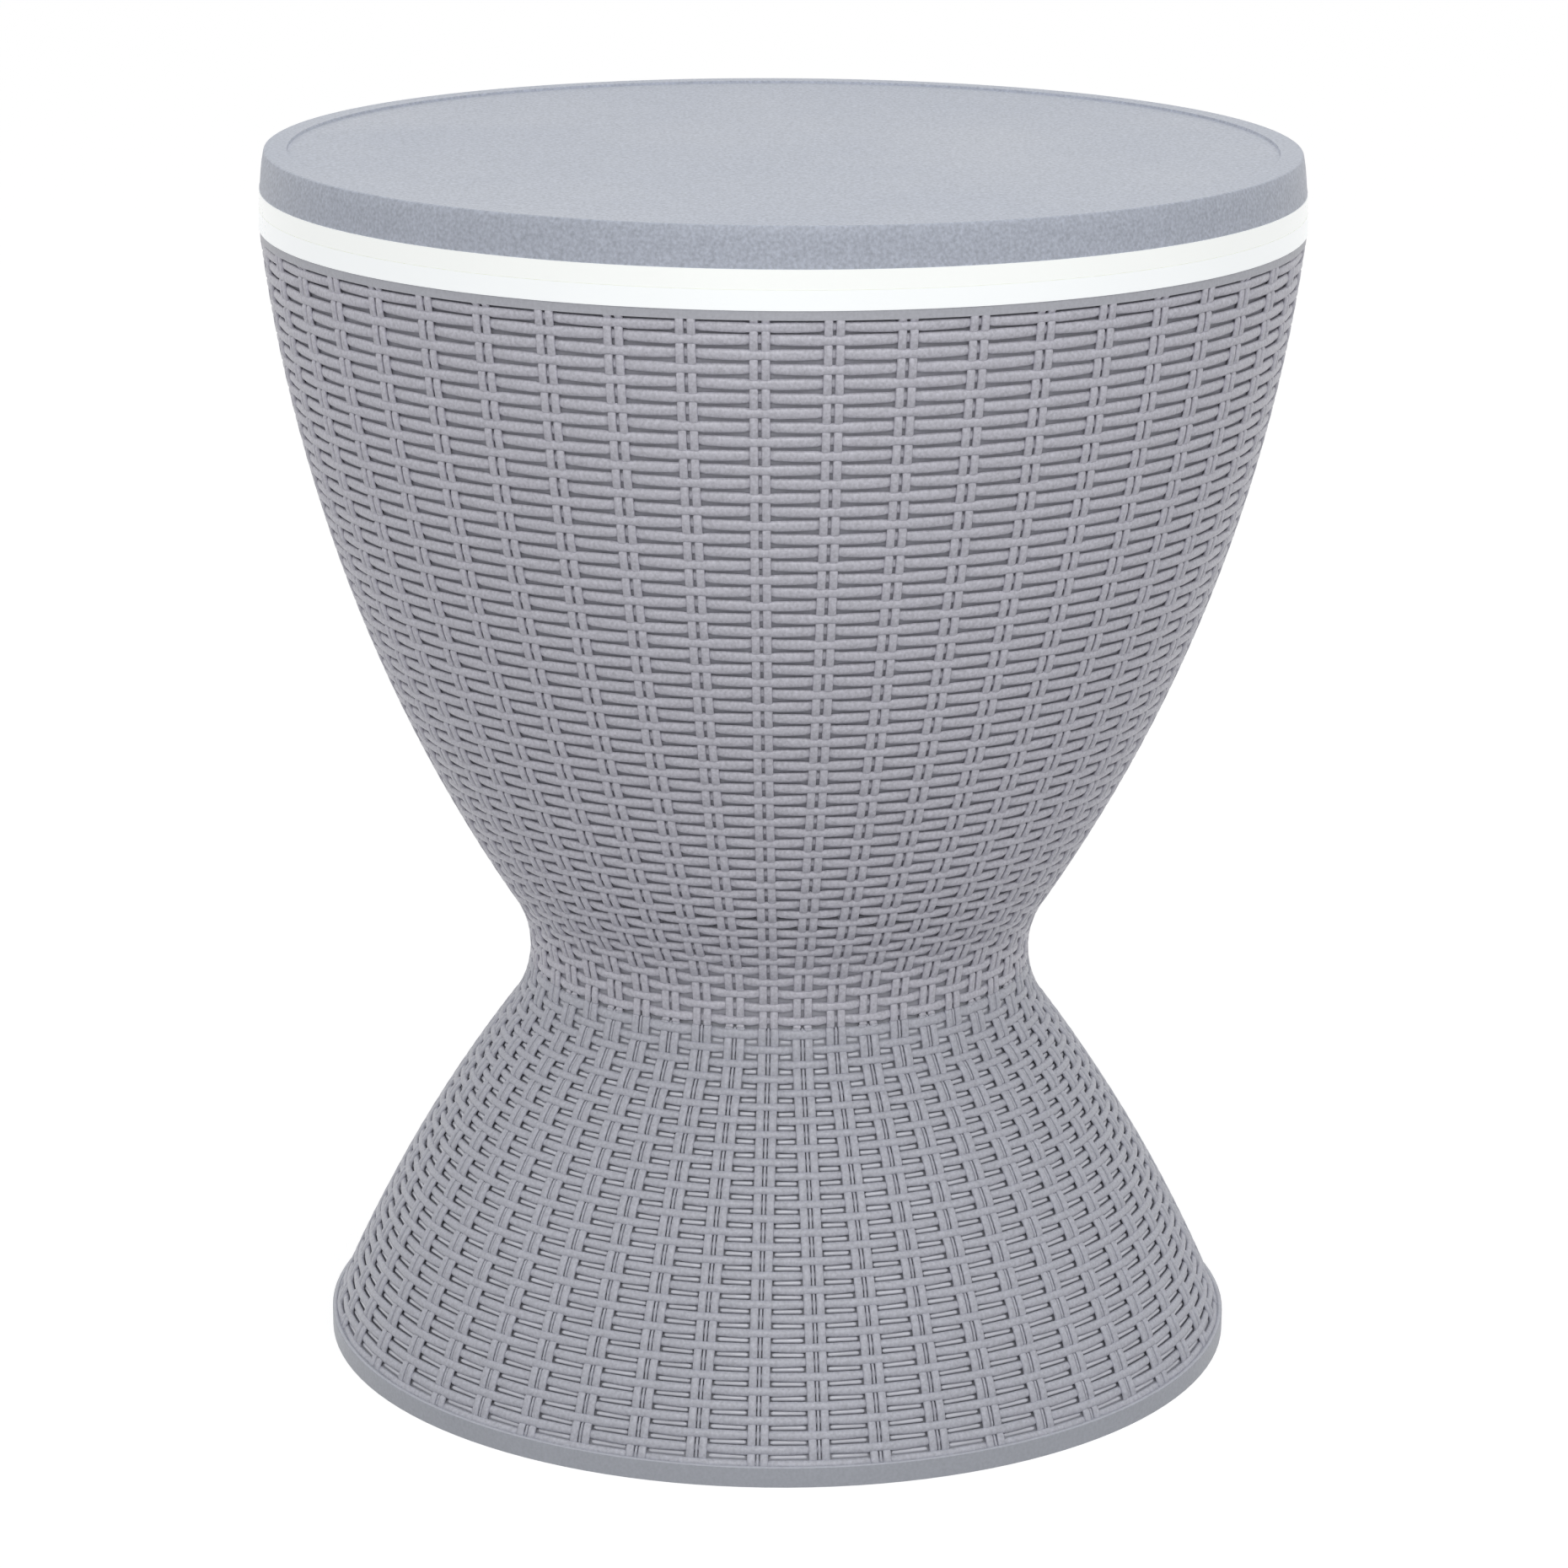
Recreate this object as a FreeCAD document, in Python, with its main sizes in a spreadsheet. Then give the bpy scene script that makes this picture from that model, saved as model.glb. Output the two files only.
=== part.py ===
import FreeCAD, Part
import math
import os
import Sketcher

# Round cooler table: a woven hourglass body of two moulded shells, an ice bucket in its bowl,
# a lit ring under the bucket's lip, and a table top that lifts on a telescopic column.
# Millimetres, +Z up, origin on the floor at the centre of the base.

DOC = FreeCAD.newDocument("CoolerTable")
SIZES = DOC.addObject("Spreadsheet::Sheet", "Sizes")

DIMENSIONS = {
    "outside": [
        ("table_width", 420.0),
        ("table_height", 498.6),
        ("hem_radius", 189.0),
        ("hem_height", 8.0),
        ("hem_step", 1.0),
        ("hem_wall", 5.0),
        ("waist_radius", 104.1),
        ("waist_height", 165.1),
        ("waist_round", 46.1),
        ("base_bow", 620.2),
        ("bowl_bow", 631.0),
        ("rim_inset", 0.6),
        ("rim_step", 0.4),
        ("rim_band", 3.6),
        ("joint_height", 161.5),
        ("weave_inset", 2.2),
        ("stake_pairs", 48),
        ("stake_turn", 2.3),
        ("base_rows_start", 6.5),
        ("base_row_pitch", 5.69),
        ("base_rows", 31),
        ("bowl_rows_start", 182.7),
        ("bowl_row_pitch", 5.618),
        ("bowl_rows", 58),
        ("first_ribbed_row", 2),
        ("rows_per_rib", 4),
        ("strand_rib_top", 0.9),
        ("strand_rib_foot", 1.7),
        ("strand_rib_inset", 0.5),
        ("bowl_inner_bands", 4),
        ("base_inner_bands", 2),
        ("waist_inner_bands", 1),
    ],
    "shells": [
        ("shell_wall", 2.5),
        ("joint_flange", 19.0),
        ("flange_thickness", 4.0),
        ("floor_thickness", 3.0),
        ("spigot_height", 6.0),
        ("spigot_wall", 2.5),
        ("seat_clearance", 0.3),
        ("rib_thickness", 2.5),
        ("rib_depth", 12.0),
        ("rib_count", 8),
        ("rim_ledge", 9.5),
        ("weep_radius", 5.0),
    ],
    "bucket": [
        ("bucket_gap", 7.0),
        ("bucket_wall", 3.0),
        ("bucket_rise", 51.5),
        ("bucket_corner", 10.0),
        ("bucket_bands", 2),
        ("mouth_step", 1.0),
        ("lip_root", 1.5),
        ("lip_height", 7.5),
        ("lip_inset", 0.4),
        ("lip_wall", 3.2),
        ("shoulder_width", 3.0),
        ("sleeve_wall", 2.5),
        ("sleeve_drop", 13.0),
        ("sleeve_clearance", 0.6),
        ("sleeve_foot", 8.0),
        ("sleeve_foot_thickness", 2.0),
        ("drain_offset", 64.0),
        ("drain_bore", 8.0),
        ("nozzle_wall", 2.5),
        ("nozzle_length", 12.0),
    ],
    "light": [
        ("light_height", 7.5),
        ("light_draft", 0.3),
        ("light_wall", 2.8),
        ("light_foot", 2.0),
        ("strip_width", 5.0),
        ("strip_thickness", 1.4),
        ("strip_clearance", 0.3),
    ],
    "column": [
        ("guide_radius", 24.0),
        ("guide_wall", 2.0),
        ("guide_drop", 6.0),
        ("guide_flange_radius", 44.0),
        ("guide_flange_thickness", 3.0),
        ("lift_radius", 19.0),
        ("lift_wall", 1.5),
        ("running_clearance", 0.08),
        ("bush_length", 37.0),
        ("bush_flange", 3.0),
        ("key_width", 4.0),
        ("key_depth", 0.9),
        ("key_clearance", 0.2),
        ("foot_gap", 1.0),
        ("foot_floor", 3.0),
        ("foot_height", 25.0),
        ("collar_radius", 32.0),
        ("collar_skirt", 5.0),
        ("collar_lip", 2.7),
        ("collar_clearance", 0.35),
        ("collar_grips", 12),
        ("grip_radius", 3.0),
    ],
    "lid": [
        ("lid_height", 15.6),
        ("lid_inset", 0.7),
        ("lid_draft", 0.8),
        ("lid_bead", 0.8),
        ("lid_bead_height", 1.2),
        ("lid_round", 2.0),
        ("lid_shoulder", 0.6),
        ("lid_wall", 3.0),
        ("top_rim_width", 12.0),
        ("top_recess", 1.2),
        ("gasket_height", 3.0),
        ("gasket_width", 4.0),
        ("gasket_inset", 3.0),
        ("liner_wall", 2.5),
        ("liner_depth", 10.0),
        ("liner_clearance", 4.0),
        ("hub_wall", 4.0),
        ("hub_depth", 18.0),
        ("lid_rib_thickness", 2.0),
        ("lid_rib_count", 12),
        ("spigot_plug_length", 12.0),
    ],
    "battery": [
        ("box_length", 94.0),
        ("box_width", 72.0),
        ("box_depth", 26.0),
        ("box_wall", 2.2),
        ("box_round", 5.0),
        ("cell_bay", 53.0),
        ("cell_radius", 7.25),
        ("cell_length", 50.5),
        ("cell_spacing", 15.6),
        ("cell_count", 4),
        ("contact_thickness", 0.6),
        ("contact_height", 10.9),
        ("contact_gap", 0.4),
        ("cover_thickness", 2.2),
        ("cover_gap", 0.4),
        ("ear_length", 9.0),
        ("ear_width", 16.0),
        ("board_thickness", 1.6),
        ("board_margin", 1.5),
        ("post_radius", 3.0),
        ("switch_radius", 2.8),
        ("button_radius", 7.0),
        ("button_clearance", 0.3),
        ("button_travel", 1.5),
        ("button_stand", 2.5),
        ("button_flange", 1.6),
        ("button_flange_thickness", 1.2),
    ],
    "drain": [
        ("pipe_wall", 2.0),
        ("pipe_clearance", 0.2),
        ("pipe_drop", 35.5),
        ("plug_flange", 4.0),
        ("plug_flange_thickness", 2.0),
        ("plug_length", 9.0),
        ("plug_clearance", 0.1),
        ("plug_taper", 0.5),
        ("pull_height", 9.0),
        ("pull_half_width", 5.6),
        ("pull_round", 6.4),
        ("pull_eye", 2.7),
        ("pull_thickness", 3.0),
    ],
}


def fill_sheet():
    """One row per size: its name, its number as text, and the alias that the pieces read."""
    row = 1
    for group, entries in DIMENSIONS.items():
        SIZES.set(f"A{row}", group)
        row += 1
        for name, size in entries:
            SIZES.set(f"A{row}", name)
            SIZES.set(f"B{row}", str(size))
            SIZES.setAlias(f"B{row}", name)
            row += 1
    return row


def work_out(row, name, formula):
    """A size that follows from others, kept in the sheet as a formula."""
    SIZES.set(f"A{row}", name)
    SIZES.set(f"B{row}", "=" + formula)
    SIZES.setAlias(f"B{row}", name)
    return row + 1


def side_centre(row, side, start_radius, start_height, turn):
    """Centre of a side's long curve, which starts at a point and is tangent to the waist's round.

    The centre lies the curve's radius from the start and that plus the waist's round from the
    waist's own centre; turn picks which of the two such centres lies inside the body.
    """
    bow = side + "_bow"
    across = f"(waist_radius + waist_round - ({start_radius}))"
    up = f"(waist_height - ({start_height}))"
    row = work_out(row, side + "_chord", f"sqrt({across}^2 + {up}^2)")
    chord = side + "_chord"
    along = f"(({bow}^2 - ({bow} + waist_round)^2 + {chord}^2) / (2 * {chord}))"
    row = work_out(row, side + "_along", along)
    row = work_out(row, side + "_offset", f"sqrt({bow}^2 - {side}_along^2)")
    radial = f"{start_radius} + ({side}_along * {across} + {turn} * {side}_offset * {up}) / {chord}"
    height = f"{start_height} + ({side}_along * {up} - {turn} * {side}_offset * {across}) / {chord}"
    row = work_out(row, side + "_centre_r", radial)
    return work_out(row, side + "_centre_z", height)


def side_radius(row, name, side, inset, height):
    """Radius of a side's long curve at a height, moved inward by an inset."""
    reach = f"sqrt(({side}_bow - ({inset}))^2 - ({height} - {side}_centre_z)^2)"
    return work_out(row, name, f"{side}_centre_r + {reach}")


def waist_radius_at(row, name, inset, height):
    """Radius of the waist's round at a height, moved inward by an inset."""
    reach = f"sqrt((waist_round + {inset})^2 - ({height} - waist_height)^2)"
    return work_out(row, name, f"waist_radius + waist_round - {reach}")


def side_run(row, name, side, inset, low, high, count):
    """Points up a side's curve, from low to high in equal steps, for bands between them."""
    for i in range(count + 1):
        row = work_out(row, f"{name}_{i}_z", f"{low} + ({high} - ({low})) * {i} / {count}")
        if side == "waist":
            row = waist_radius_at(row, f"{name}_{i}_r", inset, f"{name}_{i}_z")
        else:
            row = side_radius(row, f"{name}_{i}_r", side, inset, f"{name}_{i}_z")
    return row


def tangent_height(row, side):
    """Height at which a side's long curve runs into the waist's round."""
    share = f"(waist_round / (waist_round + {side}_bow))"
    rise = f"({side}_centre_z - waist_height)"
    return work_out(row, side + "_tangent_z", f"waist_height + {rise} * {share}")


def fill_wall_runs(row):
    """Points up the inner faces of both woven shells and up the middle of the base's wall."""
    inner, rib = "inner_inset", "rib_inset"
    for name, side, inset, low, high, bands in (
        ("skirt_inner", "base", inner, "hem_middle", "base_tangent_z", "base_inner_bands"),
        ("skirt_rib", "base", rib, "hem_height", "base_tangent_z", "base_inner_bands"),
        ("neck_inner", "waist", inner, "base_tangent_z", "flange_bottom", "waist_inner_bands"),
        ("neck_rib", "waist", rib, "base_tangent_z", "flange_bottom", "waist_inner_bands"),
        ("heel_inner", "waist", inner, "floor_top", "bowl_tangent_z", "waist_inner_bands"),
        ("bowl_inner", "bowl", inner, "bowl_tangent_z", "rim_middle", "bowl_inner_bands"),
    ):
        row = side_run(row, name, side, inset, low, high, int(number(bands)))
    return row


def fill_worked_out_sizes(row):
    """Heights, seats and curve points that follow from the sizes above."""
    row = work_out(row, "light_radius", "0.5 * table_width")
    row = work_out(row, "rim_radius", "light_radius - rim_inset")
    row = work_out(row, "lip_radius", "light_radius - lip_inset")
    row = work_out(row, "lid_radius", "light_radius - lid_inset")
    row = work_out(row, "lid_seat", "table_height - lid_height")
    row = work_out(row, "lip_bottom", "lid_seat - lip_height")
    row = work_out(row, "rim_height", "lip_bottom - light_height")
    row = work_out(row, "woven_top", "rim_height - rim_band")
    row = work_out(row, "rim_middle", "rim_height - 0.5 * rim_band")
    row = work_out(row, "hem_middle", "0.5 * hem_height")
    row = work_out(row, "inner_inset", "weave_inset + shell_wall")
    row = work_out(row, "rib_inset", "weave_inset + 0.5 * shell_wall")
    row = work_out(row, "bucket_inset", "inner_inset + bucket_gap")
    row = work_out(row, "bucket_inner_inset", "bucket_inset + bucket_wall")
    row = side_centre(row, "base", "hem_radius - hem_step", "hem_height", -1)
    row = side_centre(row, "bowl", "rim_radius - rim_step", "woven_top", 1)
    row = work_out(row, "flange_bottom", "joint_height - flange_thickness")
    row = work_out(row, "floor_top", "joint_height + floor_thickness")
    row = tangent_height(row, "base")
    row = tangent_height(row, "bowl")
    row = fill_wall_runs(row)
    row = work_out(row, "flange_radius", "waist_radius - joint_flange")
    row = work_out(row, "ledge_radius", "rim_radius - rim_ledge")
    row = work_out(row, "bucket_floor_height", "floor_top + bucket_rise")
    row = work_out(row, "bucket_floor_top", "bucket_floor_height + bucket_wall")
    row = work_out(row, "nozzle_bottom", "bucket_floor_height - nozzle_length")
    row = work_out(row, "corner_top", "bucket_floor_top + bucket_corner")
    bands = int(size("bucket_bands"))
    for name, inset in (("bucket_outer", "bucket_inset"), ("bucket_inner", "bucket_inner_inset")):
        row = side_run(row, name, "bowl", inset, "corner_top", "rim_height", bands)
    row = work_out(row, "bucket_mouth_r", f"bucket_inner_{bands}_r")
    row = work_out(row, "lip_root_radius", f"bucket_outer_{bands}_r - lip_root")
    row = work_out(row, "shoulder_radius", "ledge_radius + shoulder_width")
    row = work_out(row, "guide_top", "rim_height - guide_drop")
    row = work_out(row, "sleeve_top", "rim_height - sleeve_drop")
    row = work_out(row, "sleeve_bore", "guide_radius + sleeve_clearance")
    row = work_out(row, "guide_bore", "guide_radius - guide_wall")
    row = work_out(row, "foot_bottom", "floor_top + foot_gap")
    row = work_out(row, "lift_bottom", "foot_bottom + foot_floor")
    row = work_out(row, "panel_under", "lid_height - top_recess - lid_wall")
    row = work_out(row, "lift_top", "lid_seat - liner_depth + hub_depth")
    row = work_out(row, "pipe_end_height", "flange_bottom - pipe_drop")
    row = work_out(row, "box_bottom", "joint_height - box_depth")
    row = work_out(row, "board_level", "joint_height - box_wall - board_margin - board_thickness")
    pressed = "box_bottom + 2 * seat_clearance + button_flange_thickness + button_travel"
    row = work_out(row, "switch_length", f"board_level - ({pressed})")
    return row


def terms(text):
    """The signed terms of a sum such as 'rim_height - 0.5*rim_band', each as its factors."""
    sign = 1.0
    found = []
    for word in text.split():
        if word in "+-":
            sign = 1.0 if word == "+" else -1.0
        else:
            found.append((sign, word.split("*")))
            sign = 1.0
    return found


def is_plain(word):
    """Whether a factor is a plain number and not the name of a size."""
    return word.replace(".", "", 1).isdigit()


def number(text):
    """The present value of a sum of sizes."""
    total = 0.0
    for sign, factors in terms(text):
        product = sign
        for factor in factors:
            product *= float(factor) if is_plain(factor) else float(SIZES.get(factor))
        total += product
    return total


def formula(text):
    """The same sum as an expression that reads the sheet."""
    parts = []
    for sign, factors in terms(text):
        names = [factor if is_plain(factor) else "Sizes." + factor for factor in factors]
        parts.append((" + " if sign > 0 else " - ") + " * ".join(names))
    return "0" + "".join(parts)


def negative(text):
    """The same sum with every sign turned."""
    return " ".join(("- " if sign > 0 else "+ ") + "*".join(factors) for sign, factors in terms(text))


def bind(item, prop, text):
    item.setExpression(prop, formula(text))


def new_body(label, height="0"):
    """A body standing at a height on the table's axis."""
    body = DOC.addObject("PartDesign::Body", label)
    body.Label = label
    bind(body, "Placement.Base.z", height)
    return body


def new_sketch(body, name, role="XZ_Plane", level=None):
    """A sketch on one of the body's own origin planes, or raised from it by a level."""
    sketch = body.newObject("Sketcher::SketchObject", name)
    plane = [f for f in body.Origin.OriginFeatures if f.Role == role][0]
    sketch.AttachmentSupport = [(plane, "")]
    sketch.MapMode = "FlatFace"
    if level is not None:
        bind(sketch, "AttachmentOffset.Base.z", level)
    return sketch


def pin_point(sketch, geometry, end, place):
    """Hold one end of a sketch's curve at a place given by two sums of sizes."""
    for kind, text, axis in (("DistanceX", place[0], -2), ("DistanceY", place[1], -1)):
        if text == "0":
            sketch.addConstraint(Sketcher.Constraint("PointOnObject", geometry, end, axis))
        else:
            value = number(text)
            rule = Sketcher.Constraint(kind, -1, 1, geometry, end, value)
            index = sketch.addConstraint(rule)
            sketch.setExpression(f"Constraints[{index}]", formula(text))


def arc_between(start, end, radius, side):
    """An arc from start to end; side is 1 where its centre lies to the left, -1 to the right."""
    middle = (start + end) * 0.5
    along = end - start
    half = along.Length / 2
    reach = math.sqrt(max(radius * radius - half * half, 0.0))
    left = FreeCAD.Vector(-along.y, along.x, 0).normalize()
    centre = middle + left * (reach * side)
    first, last = (start, end) if side > 0 else (end, start)
    angles = [math.atan2(p.y - centre.y, p.x - centre.x) for p in (first, last)]
    circle = Part.Circle(centre, FreeCAD.Vector(0, 0, 1), radius)
    return Part.ArcOfCircle(circle, angles[0], angles[1])


def add_outline(sketch, outline):
    """A closed outline through places given by sums of sizes.

    Each entry is (across, up) for a straight run to the next place, or (across, up, radius,
    side) for an arc to it.
    """
    places = [FreeCAD.Vector(number(p[0]), number(p[1]), 0) for p in outline]
    count = len(outline)
    ends = []
    for i, entry in enumerate(outline):
        start, end = places[i], places[(i + 1) % count]
        if len(entry) == 2:
            index = sketch.addGeometry(Part.LineSegment(start, end))
            ends.append((index, 1, 2))
        else:
            curve = arc_between(start, end, number(entry[2]), entry[3])
            index = sketch.addGeometry(curve)
            ends.append((index, 1, 2) if entry[3] > 0 else (index, 2, 1))
    for i in range(count):
        index, first, last = ends[i]
        follower, begin, finish = ends[(i + 1) % count]
        sketch.addConstraint(Sketcher.Constraint("Coincident", index, last, follower, begin))
    for i, entry in enumerate(outline):
        index, first, last = ends[i]
        pin_point(sketch, index, first, entry)
        if len(entry) > 2:
            rule = Sketcher.Constraint("Radius", index, number(entry[2]))
            place = sketch.addConstraint(rule)
            sketch.setExpression(f"Constraints[{place}]", formula(entry[2]))


def add_circle(sketch, across, up, radius):
    """A circle whose centre and radius are sums of sizes."""
    centre = FreeCAD.Vector(number(across), number(up), 0)
    circle = Part.Circle(centre, FreeCAD.Vector(0, 0, 1), number(radius))
    index = sketch.addGeometry(circle)
    pin_point(sketch, index, 3, (across, up))
    place = sketch.addConstraint(Sketcher.Constraint("Radius", index, number(radius)))
    sketch.setExpression(f"Constraints[{place}]", formula(radius))


def run_up(name, count, base=""):
    """Places up one of the side runs, with their heights from a body's own base."""
    return [(f"{name}_{i}_r", f"{name}_{i}_z{base}") for i in range(count + 1)]


def run_down(name, count, base=""):
    return run_up(name, count, base)[::-1]


def box_outline(low_x, low_y, high_x, high_y):
    return [(low_x, low_y), (high_x, low_y), (high_x, high_y), (low_x, high_y)]


def revolve(body, name, outline):
    """Turn an outline of radius and height once round the body's axis."""
    sketch = new_sketch(body, name + "Outline")
    add_outline(sketch, outline)
    turned = body.newObject("PartDesign::Revolution", name)
    turned.Profile = sketch
    turned.ReferenceAxis = (sketch, ["V_Axis"])
    turned.Angle = 360
    return turned


def pad(body, name, sketch, length, midplane=False, down=False):
    feature = body.newObject("PartDesign::Pad", name)
    feature.Profile = sketch
    bind(feature, "Length", length)
    feature.Midplane = midplane
    feature.Reversed = down
    return feature


def pocket(body, name, sketch, length=None, up=False):
    """Cut a sketch through the body, or to a depth, downward unless it is turned up."""
    feature = body.newObject("PartDesign::Pocket", name)
    feature.Profile = sketch
    if length is None:
        feature.Type = 1
    else:
        bind(feature, "Length", length)
    feature.Reversed = up
    return feature


def around(body, feature, count):
    """Repeat a feature evenly round the body's axis."""
    pattern = body.newObject("PartDesign::PolarPattern", feature.Name + "Round")
    pattern.Originals = [feature]
    axis = [f for f in body.Origin.OriginFeatures if f.Role == "Z_Axis"][0]
    pattern.Axis = (axis, [""])
    pattern.Angle = 360
    bind(pattern, "Occurrences", count)
    body.Tip = pattern
    return pattern


def round_uprights(body, name, half_x, half_y, radius):
    """Round the four upright corners of a rectangle centred on the axis."""
    DOC.recompute()
    base = body.Tip
    names = []
    for i, edge in enumerate(base.Shape.Edges):
        box = edge.BoundBox
        upright = math.isclose(box.ZLength, box.DiagonalLength, rel_tol=1e-6)
        at_x = math.isclose(abs(box.XMin), number(half_x), rel_tol=1e-6)
        if upright and at_x and math.isclose(abs(box.YMin), number(half_y), rel_tol=1e-6):
            names.append(f"Edge{i + 1}")
    feature = body.newObject("PartDesign::Fillet", name)
    feature.Base = (base, names)
    bind(feature, "Radius", radius)
    return feature


def corner_ring(radius, height):
    """Corners of the wall at one height: one at each stake pair, and the first again at the end."""
    pairs = int(size("stake_pairs"))
    first = -math.radians(number("stake_turn"))
    angles = [first + 2 * math.pi * (i % pairs) / pairs for i in range(pairs + 1)]
    return [FreeCAD.Vector(radius * math.cos(a), radius * math.sin(a), height) for a in angles]


def numbers(places):
    """Places given by sums of sizes, as their present values."""
    return [(number(radius), number(height)) for radius, height in places]


def flat_face(corners):
    return Part.Face(Part.makePolygon([*corners, corners[0]]))


def faceted_stack(name, places):
    """A solid with one flat face between each two stake pairs, through places of radius and height.

    Its faces are planes, because a loft through such corners gives bent faces in their place.
    """
    rings = [corner_ring(radius, height) for radius, height in places]
    faces = [flat_face(rings[0][:-1][::-1]), flat_face(rings[-1][:-1])]
    for low, high in zip(rings, rings[1:]):
        for i in range(len(low) - 1):
            faces.append(flat_face([low[i], low[i + 1], high[i + 1], high[i]]))
    stack = DOC.addObject("Part::Feature", name)
    stack.Shape = Part.makeSolid(Part.makeShell(faces))
    return stack


def size(name):
    """The present value of one size in the sheet."""
    return float(SIZES.get(name))


def side_leans():
    """Lean of the side at the floor, where it runs into the waist's round, and where it leaves it."""
    leans = []
    for side, height in (("base", 0.0), ("base", size("base_tangent_z")), ("bowl", size("bowl_tangent_z"))):
        rise = height - size(side + "_centre_z")
        leans.append(math.asin(rise / size(side + "_bow")))
    return leans


def side_place(run, inset):
    """Radius and height on the side, at a run along it from the floor and an inset from it.

    The lean changes evenly along each of the three round stretches, and the place lies from the
    stretch's centre in the direction of the lean.
    """
    floor_lean, low_lean, high_lean = side_leans()
    waist = size("waist_round")
    low_run = size("base_bow") * (low_lean - floor_lean)
    high_run = low_run + waist * (low_lean - high_lean)
    if run < low_run:
        lean = floor_lean + run / size("base_bow")
        centre = (size("base_centre_r"), size("base_centre_z"))
        reach = size("base_bow") - inset
    elif run < high_run:
        lean = low_lean - (run - low_run) / waist
        centre = (size("waist_radius") + waist, size("waist_height"))
        reach = -waist - inset
    else:
        lean = high_lean + (run - high_run) / size("bowl_bow")
        centre = (size("bowl_centre_r"), size("bowl_centre_z"))
        reach = size("bowl_bow") - inset
    return centre[0] + reach * math.cos(lean), centre[1] + reach * math.sin(lean)


def ribbed_places(side, low, high):
    """Places up a woven wall between two heights, with a rib for each fourth strand round it.

    In the waist there is one more place between two ribs, so that it stays round.
    """
    start, pitch, rows = size(side + "_rows_start"), size(side + "_row_pitch"), int(size(side + "_rows"))
    first, rows_per_rib = int(size("first_ribbed_row")), int(size("rows_per_rib"))
    wall, crest = size("weave_inset"), size("strand_rib_inset")
    foot, top = size("strand_rib_foot"), size("strand_rib_top")
    low_limit, high_limit = low + 2 * foot, high - 2 * foot
    waist_low, waist_high = size("base_tangent_z"), size("bowl_tangent_z")
    places = []
    for row in range(first, rows, rows_per_rib):
        middle = start + (row + 0.5) * pitch
        rib = [(middle - foot, wall), (middle - top, crest), (middle + top, crest), (middle + foot, wall)]
        found = [side_place(run, inset) for run, inset in rib]
        if found[0][1] > low_limit and found[-1][1] < high_limit:
            places += found
        between = side_place(middle + 0.5 * rows_per_rib * pitch, wall)
        if max(low_limit, waist_low) < between[1] < min(high_limit, waist_high):
            places.append(between)
    return [wall_place(low), *places, wall_place(high)]


def wall_place(height):
    """Place on the back of the weave at a height."""
    low, high = size("base_tangent_z"), size("bowl_tangent_z")
    inset = size("weave_inset")
    if low < height < high:
        waist = size("waist_round")
        reach = math.sqrt((waist + inset) ** 2 - (height - size("waist_height")) ** 2)
        return size("waist_radius") + waist - reach, height
    side = "base" if height <= low else "bowl"
    rise = height - size(side + "_centre_z")
    reach = math.sqrt((size(side + "_bow") - inset) ** 2 - rise ** 2)
    return size(side + "_centre_r") + reach, height


def cut(name, whole, *tools):
    """What is left of a solid once others are taken away."""
    tool = tools[0]
    if len(tools) > 1:
        tool = DOC.addObject("Part::MultiFuse", name + "Tools")
        tool.Shapes = list(tools)
    left = DOC.addObject("Part::Cut", name)
    left.Base = whole
    left.Tool = tool
    return left


def join(name, *pieces):
    """One solid of several that touch or overlap."""
    whole = DOC.addObject("Part::MultiFuse", name)
    whole.Label = name
    whole.Shapes = list(pieces)
    return whole


def ring(name, inner, outer, low, high):
    """A plain ring, from its two radii and its two heights."""
    body = new_body(name, low)
    revolve(body, name + "Turn", box_outline(inner, "0", outer, high + " " + negative(low)))
    return body


def hole_cutter(name, across, radius, low, high):
    """An upright cylinder that cuts a hole at a place in front of or behind the axis."""
    cutter = DOC.addObject("Part::Cylinder", name)
    bind(cutter, "Radius", radius)
    bind(cutter, "Height", high + " " + negative(low))
    bind(cutter, "Placement.Base.y", across)
    bind(cutter, "Placement.Base.z", low)
    return cutter


def base_frame():
    """Flange at the top of the base and the upright ribs that carry it down the skirt."""
    body = new_body("BaseFrame")
    few, one = int(size("base_inner_bands")), int(size("waist_inner_bands"))
    middle = "neck_rib_1_r"
    revolve(body, "Flange", box_outline("flange_radius", "flange_bottom", middle, "joint_height"))
    sketch = new_sketch(body, "RibOutline")
    root = "flange_radius + 0.5*flange_thickness"
    add_outline(sketch, [
        (root, "flange_bottom + 0.5*flange_thickness"),
        (middle, "flange_bottom + 0.5*flange_thickness"),
        *run_down("neck_rib", one),
        *run_down("skirt_rib", few)[1:],
        ("neck_rib_0_r - rib_depth", "base_tangent_z - rib_depth"),
        (root, "flange_bottom - 2*rib_depth"),
    ])
    around(body, pad(body, "Rib", sketch, "rib_thickness", midplane=True), "rib_count")
    return body


def base_shell():
    """Lower half of the woven body: a flared skirt with a plain hem, a joint flange and ribs."""
    outer = faceted_stack("SkirtOuter", ribbed_places("base", size("hem_middle"), size("joint_height")))
    inner = faceted_stack("SkirtInner", numbers([
        *run_up("skirt_inner", int(size("base_inner_bands"))),
        *run_up("neck_inner", int(size("waist_inner_bands")))[1:],
    ]))
    bore = hole_cutter("FlangeBore", "0", "flange_radius", "flange_bottom", "joint_height")
    skirt = cut("Skirt", outer, inner, bore)
    hem = ring("Hem", "hem_radius - hem_wall", "hem_radius", "0", "hem_height")
    return join("base_shell", skirt, hem, base_frame())


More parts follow.
